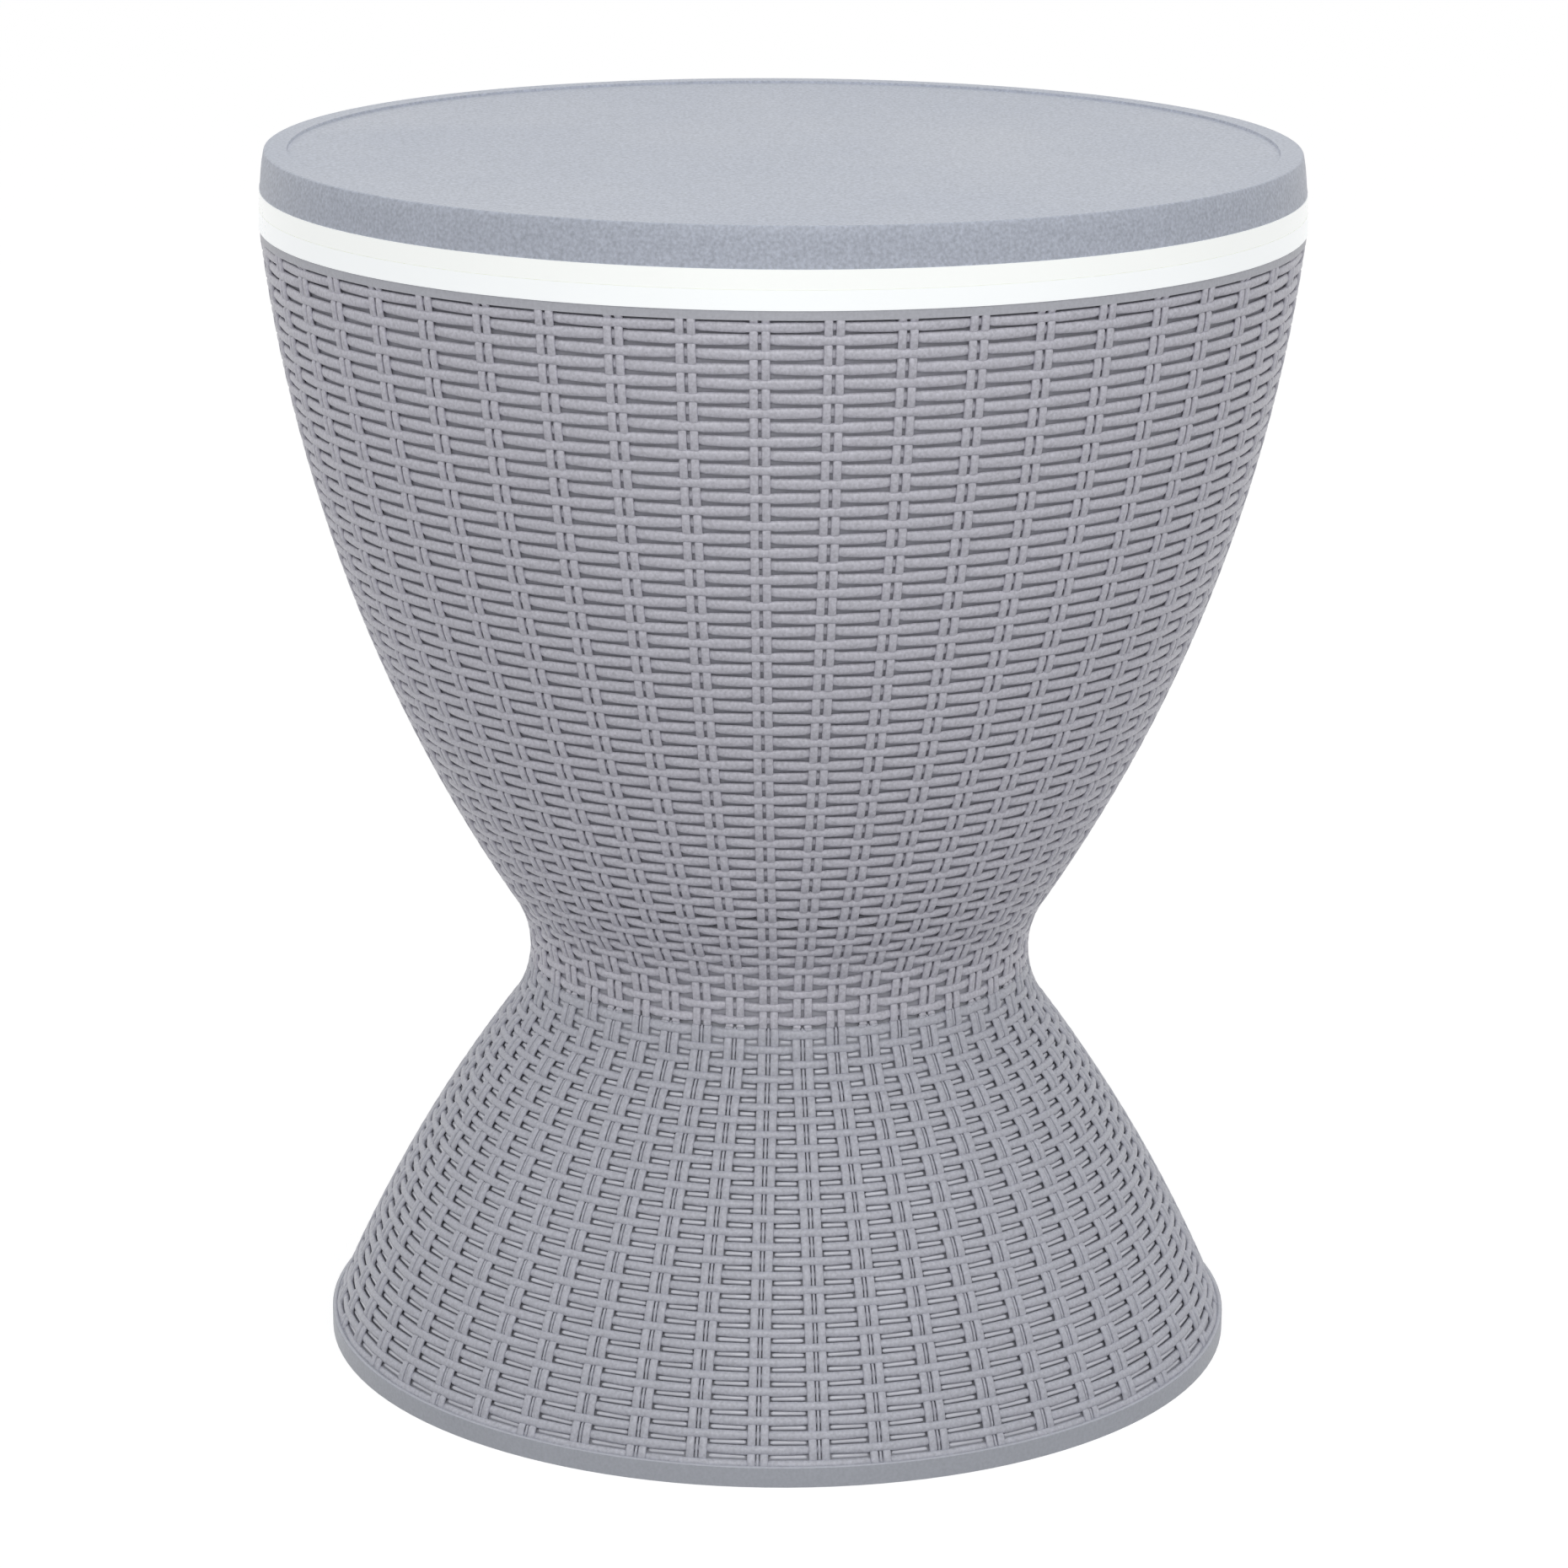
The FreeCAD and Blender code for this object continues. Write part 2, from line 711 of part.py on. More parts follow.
def bowl_shell():
    """Upper half of the woven body: a bowl with a floor at the waist and a ledge at the rim."""
    outer = faceted_stack("BowlOuter", ribbed_places("bowl", size("joint_height"), size("rim_middle")))
    inner = faceted_stack("BowlInner", numbers([
        *run_up("heel_inner", int(size("waist_inner_bands"))),
        *run_up("bowl_inner", int(size("bowl_inner_bands")))[1:],
    ]))
    weep = hole_cutter("WeepHole", "0", "weep_radius", "joint_height", "floor_top")
    passage_radius = "drain_bore + pipe_wall + seat_clearance"
    passage = hole_cutter("DrainPassage", "drain_offset", passage_radius, "joint_height", "floor_top")
    wall = cut("BowlWall", outer, inner, weep, passage)
    rim = ring("Rim", "ledge_radius", "rim_radius", "woven_top", "rim_height")
    spigot = "flange_radius - seat_clearance"
    low, high = "joint_height - spigot_height", "joint_height + 0.5*floor_thickness"
    collar = ring("Spigot", spigot + " - spigot_wall", spigot, low, high)
    return join("bowl_shell", wall, rim, collar)


def ice_bucket():
    """Bucket with a lip that shows above the light, and a drain nozzle under its floor."""
    bands = int(size("bucket_bands"))
    outer = faceted_stack("BucketOuter", numbers([
        ("bucket_outer_0_r - bucket_corner", "bucket_floor_height"),
        *run_up("bucket_outer", bands),
        (f"bucket_outer_{bands}_r", "lid_seat - mouth_step"),
    ]))
    inner = faceted_stack("BucketInner", numbers([
        ("bucket_inner_0_r - bucket_corner", "bucket_floor_top"),
        *run_up("bucket_inner", bands),
        (f"bucket_inner_{bands}_r", "lid_seat - mouth_step"),
    ]))
    sleeve = hole_cutter("SleeveHole", "0", "sleeve_bore", "bucket_floor_height", "bucket_floor_top")
    bore = hole_cutter("DrainBore", "drain_offset", "drain_bore", "nozzle_bottom", "bucket_floor_top")
    nozzle = hole_cutter("Nozzle", "drain_offset", "drain_bore + nozzle_wall", "nozzle_bottom",
                         "bucket_floor_top")
    pail = cut("Pail", join("PailWithNozzle", outer, nozzle), inner, sleeve, bore)
    lip = new_body("Lip", "rim_height")
    base = " - rim_height"
    revolve(lip, "LipTurn", [
        ("lip_root_radius", "0"),
        ("shoulder_radius", "0"),
        ("shoulder_radius", "lid_seat - lip_wall" + base),
        ("lip_radius - lip_wall", "lid_seat - lip_wall" + base),
        ("lip_radius - lip_wall", "lip_bottom" + base),
        ("lip_radius", "lip_bottom" + base),
        ("lip_radius", "lid_seat" + base),
        ("lip_root_radius", "lid_seat" + base),
    ])
    return join("ice_bucket", pail, lip)


def bucket_sleeve():
    """Tube that keeps ice off the column, on a foot bonded to the bucket's floor."""
    body = new_body("bucket_sleeve", "bucket_floor_top")
    outer = "sleeve_bore + sleeve_wall"
    revolve(body, "Sleeve", [
        ("sleeve_bore", "0"),
        (outer + " + sleeve_foot", "0"),
        (outer + " + sleeve_foot", "sleeve_foot_thickness"),
        (outer, "sleeve_foot_thickness"),
        (outer, "sleeve_top - bucket_floor_top"),
        ("sleeve_bore", "sleeve_top - bucket_floor_top"),
    ])
    return body


def light_ring():
    """White band of light between the bowl's rim and the bucket's lip."""
    body = new_body("light_ring", "rim_height")
    revolve(body, "Diffuser", [
        ("shoulder_radius + strip_clearance", "0"),
        ("light_radius", "0"),
        ("light_radius - light_draft", "light_height"),
        ("light_radius - light_wall", "light_height"),
        ("light_radius - light_wall", "light_foot"),
        ("shoulder_radius + strip_clearance", "light_foot"),
    ])
    return body


def led_strip():
    """Flexible strip of lamps wound round the bucket's shoulder."""
    body = new_body("led_strip", "rim_height + light_foot + strip_clearance")
    inner = "shoulder_radius + strip_clearance"
    revolve(body, "Strip", box_outline(inner, "0", inner + " + strip_thickness", "strip_width"))
    return body


def guide_tube():
    """Fixed outer tube of the column, on a flange screwed to the bowl's floor."""
    body = new_body("guide_tube", "floor_top")
    revolve(body, "Tube", [
        ("guide_bore", "0"),
        ("guide_flange_radius", "0"),
        ("guide_flange_radius", "guide_flange_thickness"),
        ("guide_radius", "guide_flange_thickness"),
        ("guide_radius", "guide_top - floor_top"),
        ("guide_bore", "guide_top - floor_top"),
    ])
    return body


def top_bush():
    """Plastic bush in the guide tube's mouth, with two keys that stop the lift tube turning."""
    body = new_body("top_bush", "guide_top - bush_length")
    bore = "lift_radius + running_clearance"
    revolve(body, "Bush", [
        (bore, "0"),
        ("guide_bore - running_clearance", "0"),
        ("guide_bore - running_clearance", "bush_length"),
        ("guide_radius", "bush_length"),
        ("guide_radius", "bush_length + bush_flange"),
        (bore, "bush_length + bush_flange"),
    ])
    for side, name in ((1, "KeyRight"), (-1, "KeyLeft")):
        sketch = new_sketch(body, name + "Outline", "XY_Plane")
        inner = "lift_radius - key_depth + key_clearance"
        outer = "lift_radius + 2*key_depth"
        width = "0.5*key_width - key_clearance"
        low, high = (inner, outer) if side > 0 else (negative(outer), negative(inner))
        add_outline(sketch, box_outline(low, negative(width), high, width))
        pad(body, name, sketch, "bush_length")
    return body


def lift_tube():
    """Inner tube that carries the table top, with a groove down each side."""
    body = new_body("lift_tube", "lift_bottom")
    length = "lift_top - lift_bottom"
    revolve(body, "Tube", box_outline("lift_radius - lift_wall", "0", "lift_radius", length))
    for side, name in ((1, "GrooveRight"), (-1, "GrooveLeft")):
        sketch = new_sketch(body, name + "Outline", "XY_Plane", length)
        inner, outer, half = "lift_radius - key_depth", "lift_radius + key_depth", "0.5*key_width"
        low, high = (inner, outer) if side > 0 else (negative(outer), negative(inner))
        add_outline(sketch, box_outline(low, negative(half), high, half))
        pocket(body, name, sketch, length)
    return body


def tube_foot():
    """Plastic foot that guides the lift tube's lower end and stops it under the bush."""
    body = new_body("tube_foot", "foot_bottom")
    sleeve = "lift_radius + running_clearance"
    revolve(body, "Foot", [
        ("0", "0"),
        ("guide_bore - running_clearance", "0"),
        ("guide_bore - running_clearance", "foot_height"),
        (sleeve, "foot_height"),
        (sleeve, "foot_floor"),
        ("0", "foot_floor"),
    ])
    return body


def lock_collar():
    """Collar turned by hand to clamp the lift tube, with finger grips round it."""
    body = new_body("lock_collar", "guide_top - collar_skirt")
    lip = "collar_skirt + bush_flange + collar_clearance"
    revolve(body, "Collar", [
        ("guide_radius + collar_clearance", "0"),
        ("collar_radius", "0"),
        ("collar_radius", lip + " + collar_lip"),
        ("lift_radius + collar_clearance", lip + " + collar_lip"),
        ("lift_radius + collar_clearance", lip),
        ("guide_radius + collar_clearance", lip),
    ])
    sketch = new_sketch(body, "GripOutline", "XY_Plane", lip + " + collar_lip")
    add_circle(sketch, "collar_radius + 0.5*grip_radius", "0", "grip_radius")
    around(body, pocket(body, "Grip", sketch, lip + " + collar_lip"), "collar_grips")
    return body


def lid_top():
    """Table top: a shallow cap with a flat rim, a recessed panel and ribs beneath."""
    body = new_body("lid_top", "lid_seat")
    skirt = "lid_radius - lid_bead"
    edge = skirt + " - lid_draft"
    rim = edge + " - lid_round - top_rim_width"
    revolve(body, "Cap", [
        ("lid_radius", "0"),
        ("lid_radius", "lid_bead_height"),
        (skirt, "lid_bead_height + lid_bead"),
        (edge, "lid_height - lid_round"),
        (edge + " - lid_shoulder", "lid_height - lid_shoulder"),
        (edge + " - lid_round", "lid_height"),
        (rim, "lid_height"),
        (rim + " - 0.5*top_recess", "lid_height - top_recess"),
        ("0", "lid_height - top_recess"),
        ("0", "panel_under"),
        (skirt + " - lid_draft - lid_wall", "panel_under"),
        (skirt + " - lid_wall", "0"),
    ])
    plug = new_sketch(body, "PlugOutline", "XY_Plane", "panel_under")
    add_circle(plug, "0", "0", "lift_radius - lift_wall - seat_clearance")
    pad(body, "Plug", plug, "spigot_plug_length", down=True)
    rib = new_sketch(body, "LidRibOutline")
    outer = skirt + " - lid_draft - 0.5*lid_wall"
    add_outline(rib, [
        ("lift_radius + hub_wall + seat_clearance", "panel_under + 0.5*lid_wall"),
        ("lift_radius + hub_wall + seat_clearance", "gasket_height + liner_wall + seat_clearance"),
        (outer + " - lid_wall", "gasket_height + liner_wall + seat_clearance"),
        (outer, "panel_under + 0.5*lid_wall"),
    ])
    ribs = pad(body, "LidRib", rib, "lid_rib_thickness", midplane=True)
    around(body, ribs, "lid_rib_count")
    return body


def lid_liner():
    """Pan under the table top that plugs the bucket's mouth and sockets the lift tube."""
    body = new_body("lid_liner", "lid_seat")
    pan = "bucket_mouth_r - liner_clearance"
    flange = "lid_radius - lid_bead - lid_draft - lid_wall - seat_clearance"
    sleeve = "lift_radius + running_clearance"
    revolve(body, "Pan", [
        (sleeve, "0 - liner_depth"),
        (pan + " - liner_wall", "0 - liner_depth"),
        (pan, "0 - liner_depth + liner_wall"),
        (pan, "gasket_height"),
        (flange, "gasket_height"),
        (flange, "gasket_height + liner_wall"),
        (pan + " - liner_wall", "gasket_height + liner_wall"),
        (pan + " - liner_wall", "0 - liner_depth + liner_wall"),
        (sleeve + " + hub_wall", "0 - liner_depth + liner_wall"),
        (sleeve + " + hub_wall", "hub_depth - liner_depth"),
        (sleeve, "hub_depth - liner_depth"),
    ])
    return body


def lid_gasket():
    """Soft seal between the liner's flange and the bucket's lip."""
    body = new_body("lid_gasket", "lid_seat")
    inner = "bucket_mouth_r + gasket_inset"
    revolve(body, "Seal", box_outline(inner, "0", inner + " + gasket_width", "gasket_height"))
    return body


def battery_box():
    """Moulded box under the bowl's floor, open below, with a cell bay and a control bay."""
    body = new_body("battery_box", "joint_height - box_depth")
    half_x, half_y = "0.5*box_length", "0.5*box_width"
    outline = new_sketch(body, "BoxOutline", "XY_Plane")
    add_outline(outline, box_outline(negative(half_x), negative(half_y), half_x, half_y))
    pad(body, "Box", outline, "box_depth")
    ear = new_sketch(body, "EarOutline", "XY_Plane", "box_depth - cover_thickness")
    reach = half_x + " + ear_length"
    add_outline(ear, box_outline(negative(reach), "0 - 0.5*ear_width", reach, "0.5*ear_width"))
    pad(body, "Ears", ear, "cover_thickness")
    low_x = negative(half_x) + " + box_wall"
    for name, start, end in (
        ("CellBay", low_x, low_x + " + cell_bay"),
        ("ControlBay", low_x + " + cell_bay + box_wall", half_x + " - box_wall"),
    ):
        bay = new_sketch(body, name + "Outline", "XY_Plane")
        add_outline(bay, box_outline(start, negative(half_y) + " + box_wall", end, half_y + " - box_wall"))
        pocket(body, name, bay, "box_depth - box_wall", up=True)
    posts = new_sketch(body, "BoardPostOutline", "XY_Plane", "box_depth - box_wall")
    for side in ("0.25*box_width", "0 - 0.25*box_width"):
        add_circle(posts, button_place(), side, "post_radius")
    pad(body, "BoardPosts", posts, "board_margin", down=True)
    round_uprights(body, "BoxCorners", half_x, half_y, "box_round")
    return body


def cell_place(index):
    """Where a cell lies across the box."""
    return f"{index}*cell_spacing - 0.5*cell_count*cell_spacing + 0.5*cell_spacing"


def cell(index):
    """One battery cell, lying along the box."""
    name = f"cell_{index + 1}"
    body = DOC.addObject("Part::Cylinder", name)
    body.Label = name
    bind(body, "Radius", "cell_radius")
    bind(body, "Height", "cell_length")
    body.Placement = FreeCAD.Placement(
        FreeCAD.Vector(0, 0, 0), FreeCAD.Rotation(FreeCAD.Vector(0, 1, 0), 90))
    bind(body, "Placement.Base.x", "0.5*cell_bay - 0.5*cell_length - 0.5*box_length + box_wall")
    bind(body, "Placement.Base.y", cell_place(index))
    bind(body, "Placement.Base.z", "joint_height - box_wall - cell_radius - contact_gap")
    return body


def contact_plate(name, start):
    """Plate of contacts across the end of the cell bay."""
    plate = DOC.addObject("Part::Box", name)
    plate.Label = name
    bind(plate, "Length", "contact_thickness")
    bind(plate, "Width", "cell_count*cell_spacing - 2*contact_gap")
    bind(plate, "Height", "contact_height")
    bind(plate, "Placement.Base.x", start)
    bind(plate, "Placement.Base.y", "0 - 0.5*cell_count*cell_spacing + contact_gap")
    bind(plate, "Placement.Base.z", "joint_height - box_wall - contact_height")
    return plate


def bay_cover(label, start, end, depth):
    """Flat cover under one bay of the box."""
    body = new_body(label, "joint_height - box_depth - cover_thickness")
    sketch = new_sketch(body, label + "_outline", "XY_Plane")
    half_y = "0.5*box_width"
    add_outline(sketch, box_outline(start, negative(half_y), end, half_y))
    pad(body, label + "_plate", sketch, "cover_thickness")
    round_uprights(body, label + "_corners", "0.5*box_length", half_y, "box_round")
    return body


def battery_cover():
    """Cover of the cell bay, with a tongue that locates it inside the walls."""
    start = "0 - 0.5*box_length"
    end = "0 - 0.5*box_length + 1.5*box_wall + cell_bay - cover_gap"
    body = bay_cover("battery_cover", start, end, "cover_thickness")
    tongue = new_sketch(body, "TongueOutline", "XY_Plane", "cover_thickness")
    inset = "box_wall + cover_gap"
    half_y = "0.5*box_width - " + inset.replace("+", "-")
    low = start + " + " + inset
    high = start + " + box_wall + cell_bay - cover_gap"
    add_outline(tongue, box_outline(low, negative(half_y), high, half_y))
    pad(body, "Tongue", tongue, "0.5*cover_thickness")
    return body


def button_place():
    """Middle of the control bay along the box."""
    return "0.5*cell_bay + 0.5*box_wall"


def control_cover():
    """Fixed cover of the control bay, with the button's hole."""
    start = "0 - 0.5*box_length + 1.5*box_wall + cell_bay"
    body = bay_cover("control_cover", start, "0.5*box_length", "cover_thickness")
    hole = new_sketch(body, "ButtonHoleOutline", "XY_Plane", "cover_thickness")
    add_circle(hole, button_place(), "0", "button_radius + button_clearance")
    pocket(body, "ButtonHole", hole, "cover_thickness")
    return body


def control_board():
    """Circuit board in the control bay, with the switch that the button presses."""
    body = new_body("control_board", "board_level")
    start = "0 - 0.5*box_length + 2*box_wall + cell_bay + board_margin"
    sketch = new_sketch(body, "BoardOutline", "XY_Plane")
    end = "0.5*box_length - box_wall - board_margin"
    half_y = "0.5*box_width - box_wall - board_margin"
    add_outline(sketch, box_outline(start, negative(half_y), end, half_y))
    pad(body, "Board", sketch, "board_thickness")
    switch = new_sketch(body, "SwitchOutline", "XY_Plane")
    add_circle(switch, button_place(), "0", "switch_radius")
    pad(body, "Switch", switch, "switch_length", down=True)
    return body


def power_button():
    """Round push button that stands out below the control cover, held by a flange."""
    body = new_body("power_button", "joint_height - box_depth - cover_thickness - button_stand")
    bind(body, "Placement.Base.x", button_place())
    revolve(body, "Button", [
        ("0", "0"),
        ("button_radius", "0"),
        ("button_radius", "button_stand + cover_thickness + seat_clearance"),
        ("button_radius + button_flange", "button_stand + cover_thickness + seat_clearance"),
        ("button_radius + button_flange",
         "button_stand + cover_thickness + seat_clearance + button_flange_thickness"),
        ("0", "button_stand + cover_thickness + seat_clearance + button_flange_thickness"),
    ])
    return body


def drain_pipe():
    """Pipe from the bucket's nozzle down through the bowl's floor."""
    body = new_body("drain_pipe", "pipe_end_height")
    bind(body, "Placement.Base.y", "drain_offset")
    socket = "drain_bore + nozzle_wall + pipe_clearance"
    top = "bucket_floor_height - pipe_end_height"
    step = top + " - nozzle_length - pipe_clearance"
    revolve(body, "Pipe", [
        ("drain_bore", "0"),
        ("drain_bore + pipe_wall", "0"),
        ("drain_bore + pipe_wall", step + " - nozzle_wall - pipe_wall"),
        (socket + " + pipe_wall", step),
        (socket + " + pipe_wall", top + " - pipe_clearance"),
        (socket, top + " - pipe_clearance"),
        (socket, step),
        ("drain_bore", step),
    ])
    return body


def drain_plug():
    """Rubber plug with a flange that seals on the bucket's floor and a ring to pull it by."""
    body = new_body("drain_plug", "bucket_floor_top - plug_length")
    bind(body, "Placement.Base.y", "drain_offset")
    shank = "drain_bore - plug_clearance"
    revolve(body, "Plug", [
        ("0", "0"),
        (shank + " - plug_taper", "0"),
        (shank, "plug_length"),
        ("drain_bore + plug_flange", "plug_length"),
        ("drain_bore + plug_flange", "plug_length + plug_flange_thickness"),
        ("0", "plug_length + plug_flange_thickness"),
    ])
    pull = new_sketch(body, "PullOutline")
    top = "plug_length + plug_flange_thickness"
    half = "pull_half_width"
    add_outline(pull, [
        (negative(half), top + " - 0.5*plug_flange_thickness"),
        (half, top + " - 0.5*plug_flange_thickness"),
        (half, top + " + 0.5*pull_height", "pull_round", 1),
        (negative(half), top + " + 0.5*pull_height"),
    ])
    add_circle(pull, "0", top + " + 0.5*pull_height", "pull_eye")
    pad(body, "Pull", pull, "pull_thickness", midplane=True)
    return body


def build_all():
    """Every piece of the table, from the floor up."""
    pieces = [base_shell(), bowl_shell(), ice_bucket(), bucket_sleeve(), light_ring(), led_strip()]
    pieces += [guide_tube(), top_bush(), lock_collar(), lift_tube(), tube_foot()]
    pieces += [lid_top(), lid_liner(), lid_gasket()]
    pieces += [battery_box(), battery_cover(), control_cover(), control_board(), power_button()]
    pieces += [cell(index) for index in range(int(size("cell_count")))]
    near_end = "0 - 0.5*box_length + box_wall"
    far_end = near_end + " + cell_bay - contact_thickness"
    pieces.append(contact_plate("contact_plate_near", near_end))
    pieces.append(contact_plate("contact_plate_far", far_end))
    pieces += [drain_pipe(), drain_plug()]
    DOC.recompute()
    return pieces


def check(pieces):
    """Stop if anything failed to build."""
    for item in DOC.Objects:
        if "Invalid" in item.State or "Error" in item.State:
            raise RuntimeError(f"{item.Label} did not build: {item.State}")
    for piece in pieces:
        if piece.Shape.isNull() or not piece.Shape.isValid():
            raise RuntimeError(f"{piece.Label} has no valid shape")
        if len(piece.Shape.Solids) != 1:
            raise RuntimeError(f"{piece.Label} holds {len(piece.Shape.Solids)} solids")


def export(pieces):
    os.makedirs("parts", exist_ok=True)
    for piece in pieces:
        piece.Shape.exportStep(f"parts/{piece.Label}.step")
        print(f"{piece.Label}: {piece.Shape.Volume / 1000:.1f} cm3")


next_row = fill_sheet()
DOC.recompute()
fill_worked_out_sizes(next_row)
DOC.recompute()
PIECES = build_all()
check(PIECES)
export(PIECES)
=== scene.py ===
import math

import bmesh
import bpy
import numpy as np
from mathutils import Matrix, Vector


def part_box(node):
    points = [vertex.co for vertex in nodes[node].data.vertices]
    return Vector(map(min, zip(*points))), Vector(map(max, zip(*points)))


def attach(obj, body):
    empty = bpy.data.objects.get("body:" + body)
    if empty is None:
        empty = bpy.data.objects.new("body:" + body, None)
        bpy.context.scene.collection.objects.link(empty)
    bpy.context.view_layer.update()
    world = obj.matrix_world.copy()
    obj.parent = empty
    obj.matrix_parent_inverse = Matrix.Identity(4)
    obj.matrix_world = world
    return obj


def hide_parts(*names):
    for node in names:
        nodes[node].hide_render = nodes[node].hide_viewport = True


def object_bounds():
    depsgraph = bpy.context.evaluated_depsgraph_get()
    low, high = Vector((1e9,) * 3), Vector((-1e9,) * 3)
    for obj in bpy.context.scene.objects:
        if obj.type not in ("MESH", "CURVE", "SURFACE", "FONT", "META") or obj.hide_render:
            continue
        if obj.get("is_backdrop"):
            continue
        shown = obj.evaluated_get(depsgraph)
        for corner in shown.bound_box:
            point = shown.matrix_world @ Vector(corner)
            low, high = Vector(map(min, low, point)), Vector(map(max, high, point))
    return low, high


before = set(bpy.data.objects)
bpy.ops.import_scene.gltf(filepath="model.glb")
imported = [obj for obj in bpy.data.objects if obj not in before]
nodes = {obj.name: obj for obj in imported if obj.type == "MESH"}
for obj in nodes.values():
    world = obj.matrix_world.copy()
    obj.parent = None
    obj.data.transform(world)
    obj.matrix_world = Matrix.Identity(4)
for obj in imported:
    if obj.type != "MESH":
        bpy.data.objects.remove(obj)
cad_low, cad_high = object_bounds()


# The camera stands two metres in front of the table and a little above its lid.
# It has a long lens, looks down towards the waist, and leans by a third of a degree.
EYE = Vector((0.0, -1.9793, 0.7788))
LOOK_DOWN = 0.2691
LOOK_RIGHT = 0.00079
LEAN = 0.0056
SENSOR = 36.0
LENS = 113.66


def added(name, data):
    """A new object that holds some data, put into the scene."""
    thing = bpy.data.objects.new(name, data)
    bpy.context.scene.collection.objects.link(thing)
    return thing


camera_data = bpy.data.cameras.new("camera")
camera_data.sensor_width = SENSOR
camera_data.lens = LENS
camera = added("camera", camera_data)
camera.matrix_world = (
    Matrix.Translation(EYE)
    @ Matrix.Rotation(-LOOK_RIGHT, 4, "Z")
    @ Matrix.Rotation(math.pi / 2 - LOOK_DOWN, 4, "X")
    @ Matrix.Rotation(LEAN, 4, "Z")
)
bpy.context.scene.camera = camera


# The base's strands run round a flared skirt of moulded plastic and pass in turn before and
# behind upright pairs of stakes. All of it is one moulding, with a fine sparked grain.
BOWS = np.array([0.6202, -0.0461, 0.6310])
CENTRES = np.array([[-0.3843, -0.2324], [0.1502, 0.1651], [-0.4177, 0.5337]])
LEANS = np.array([0.38434, 0.6393, -0.5758, -0.09])
RUNS = np.concatenate([[0.0], np.cumsum(np.abs(np.diff(LEANS) * BOWS))])
PAIRS = 48
FIRST_PAIR_TURN = math.radians(-2.3)
BASE_START = 0.0065
BASE_PITCH = 0.00569
BASE_ROWS = 31
BASE_WEAVE = (BASE_START, BASE_PITCH, BASE_ROWS)


def side(run, depth):
    """Radius and height of the woven side at a run from the floor, moved in by a depth.

    Along each round stretch the side's lean changes evenly, and the place is the stretch's
    centre plus its bow, less the depth, in the direction of the lean.
    """
    lean = np.interp(run, RUNS, LEANS)
    stretch = np.searchsorted(RUNS[1:-1], run)
    reach = BOWS[stretch] - depth
    radius = CENTRES[stretch, 0] + reach * np.cos(lean)
    height = CENTRES[stretch, 1] + reach * np.sin(lean)
    return radius, height


def pair_turn(pair):
    """The turn of a pair's middle by the pair's number, which may lie between two pairs."""
    return FIRST_PAIR_TURN + 2 * math.pi * pair / PAIRS


def points_of(x, y, z):
    """Points from three coordinates, each an array or a number that spreads over the others."""
    return np.stack(np.broadcast_arrays(x, y, z), axis=-1)


def place(radius, turn, height):
    """A place from its radius, its turn from the front towards +X, and its height."""
    return points_of(radius * np.sin(turn), -radius * np.cos(turn), height)


def piece_of(name, points, faces):
    """A smooth-shaded piece from an array of points and lists of corners."""
    mesh = bpy.data.meshes.new(name)
    mesh.from_pydata(points.reshape(-1, 3), [], faces)
    mesh.shade_smooth()
    return added(name, mesh)


def tubes(name, points, closed_along):
    """Tubes from points in rows of one tube each, by ring along it and corner round it.

    Each four neighbours make a face. A tube that isn't closed along its length gets end faces.
    """
    count, rings, corners = points.shape[:3]
    index = np.arange(count * rings * corners).reshape(count, rings, corners)
    ahead = np.roll(index, -1, axis=1) if closed_along else index[:, 1:]
    here = index if closed_along else index[:, :-1]
    faces = np.stack([here, np.roll(here, -1, axis=2), np.roll(ahead, -1, axis=2), ahead], axis=-1)
    caps = [] if closed_along else [*index[:, 0, ::-1].tolist(), *index[:, -1].tolist()]
    return piece_of(name, points, [*faces.reshape(-1, 4).tolist(), *caps])


# A strand's places round each pair, by how far from the pair's middle they are, and the five
# depths, reaches up and reaches down that it has there before a pair (OVER) or behind it (UNDER).
STRAND_PLACES = np.array([0.0, 0.0022, 0.0042, 0.0058])
RING_PLACE = np.array([0, 1, 2, 3, 4, 3, 2, 1])
RING_OWNER = np.array([0, 0, 0, 0, 0, 1, 1, 1])
STRAND_THICK = 0.0012
STRAND_ROUND = np.radians([-90, -55, -20, 20, 55, 90, 140, 220])
BASE_OVER = (np.array([0.0, 0.00002, 0.00006, 0.00014, 0.00022]),
             np.array([0.00170, 0.00166, 0.00166, 0.00170, 0.00175]),
             np.array([0.00182, 0.00180, 0.00195, 0.00210, 0.00190]))
BASE_UNDER = (np.array([0.0012, 0.0012, 0.0009, 0.0005, 0.00026]),
              np.array([0.00172, 0.00172, 0.00174, 0.00176, 0.00175]),
              np.array([0.00160, 0.00160, 0.00160, 0.00166, 0.00190]))
BASE_SPREAD = (1.04, 0.93)
BASE_LAST_SLOPE = 0.0009
BASE_SLOPE = np.zeros((BASE_ROWS, 1, 1, 1))
BASE_SLOPE[-1] = BASE_LAST_SLOPE


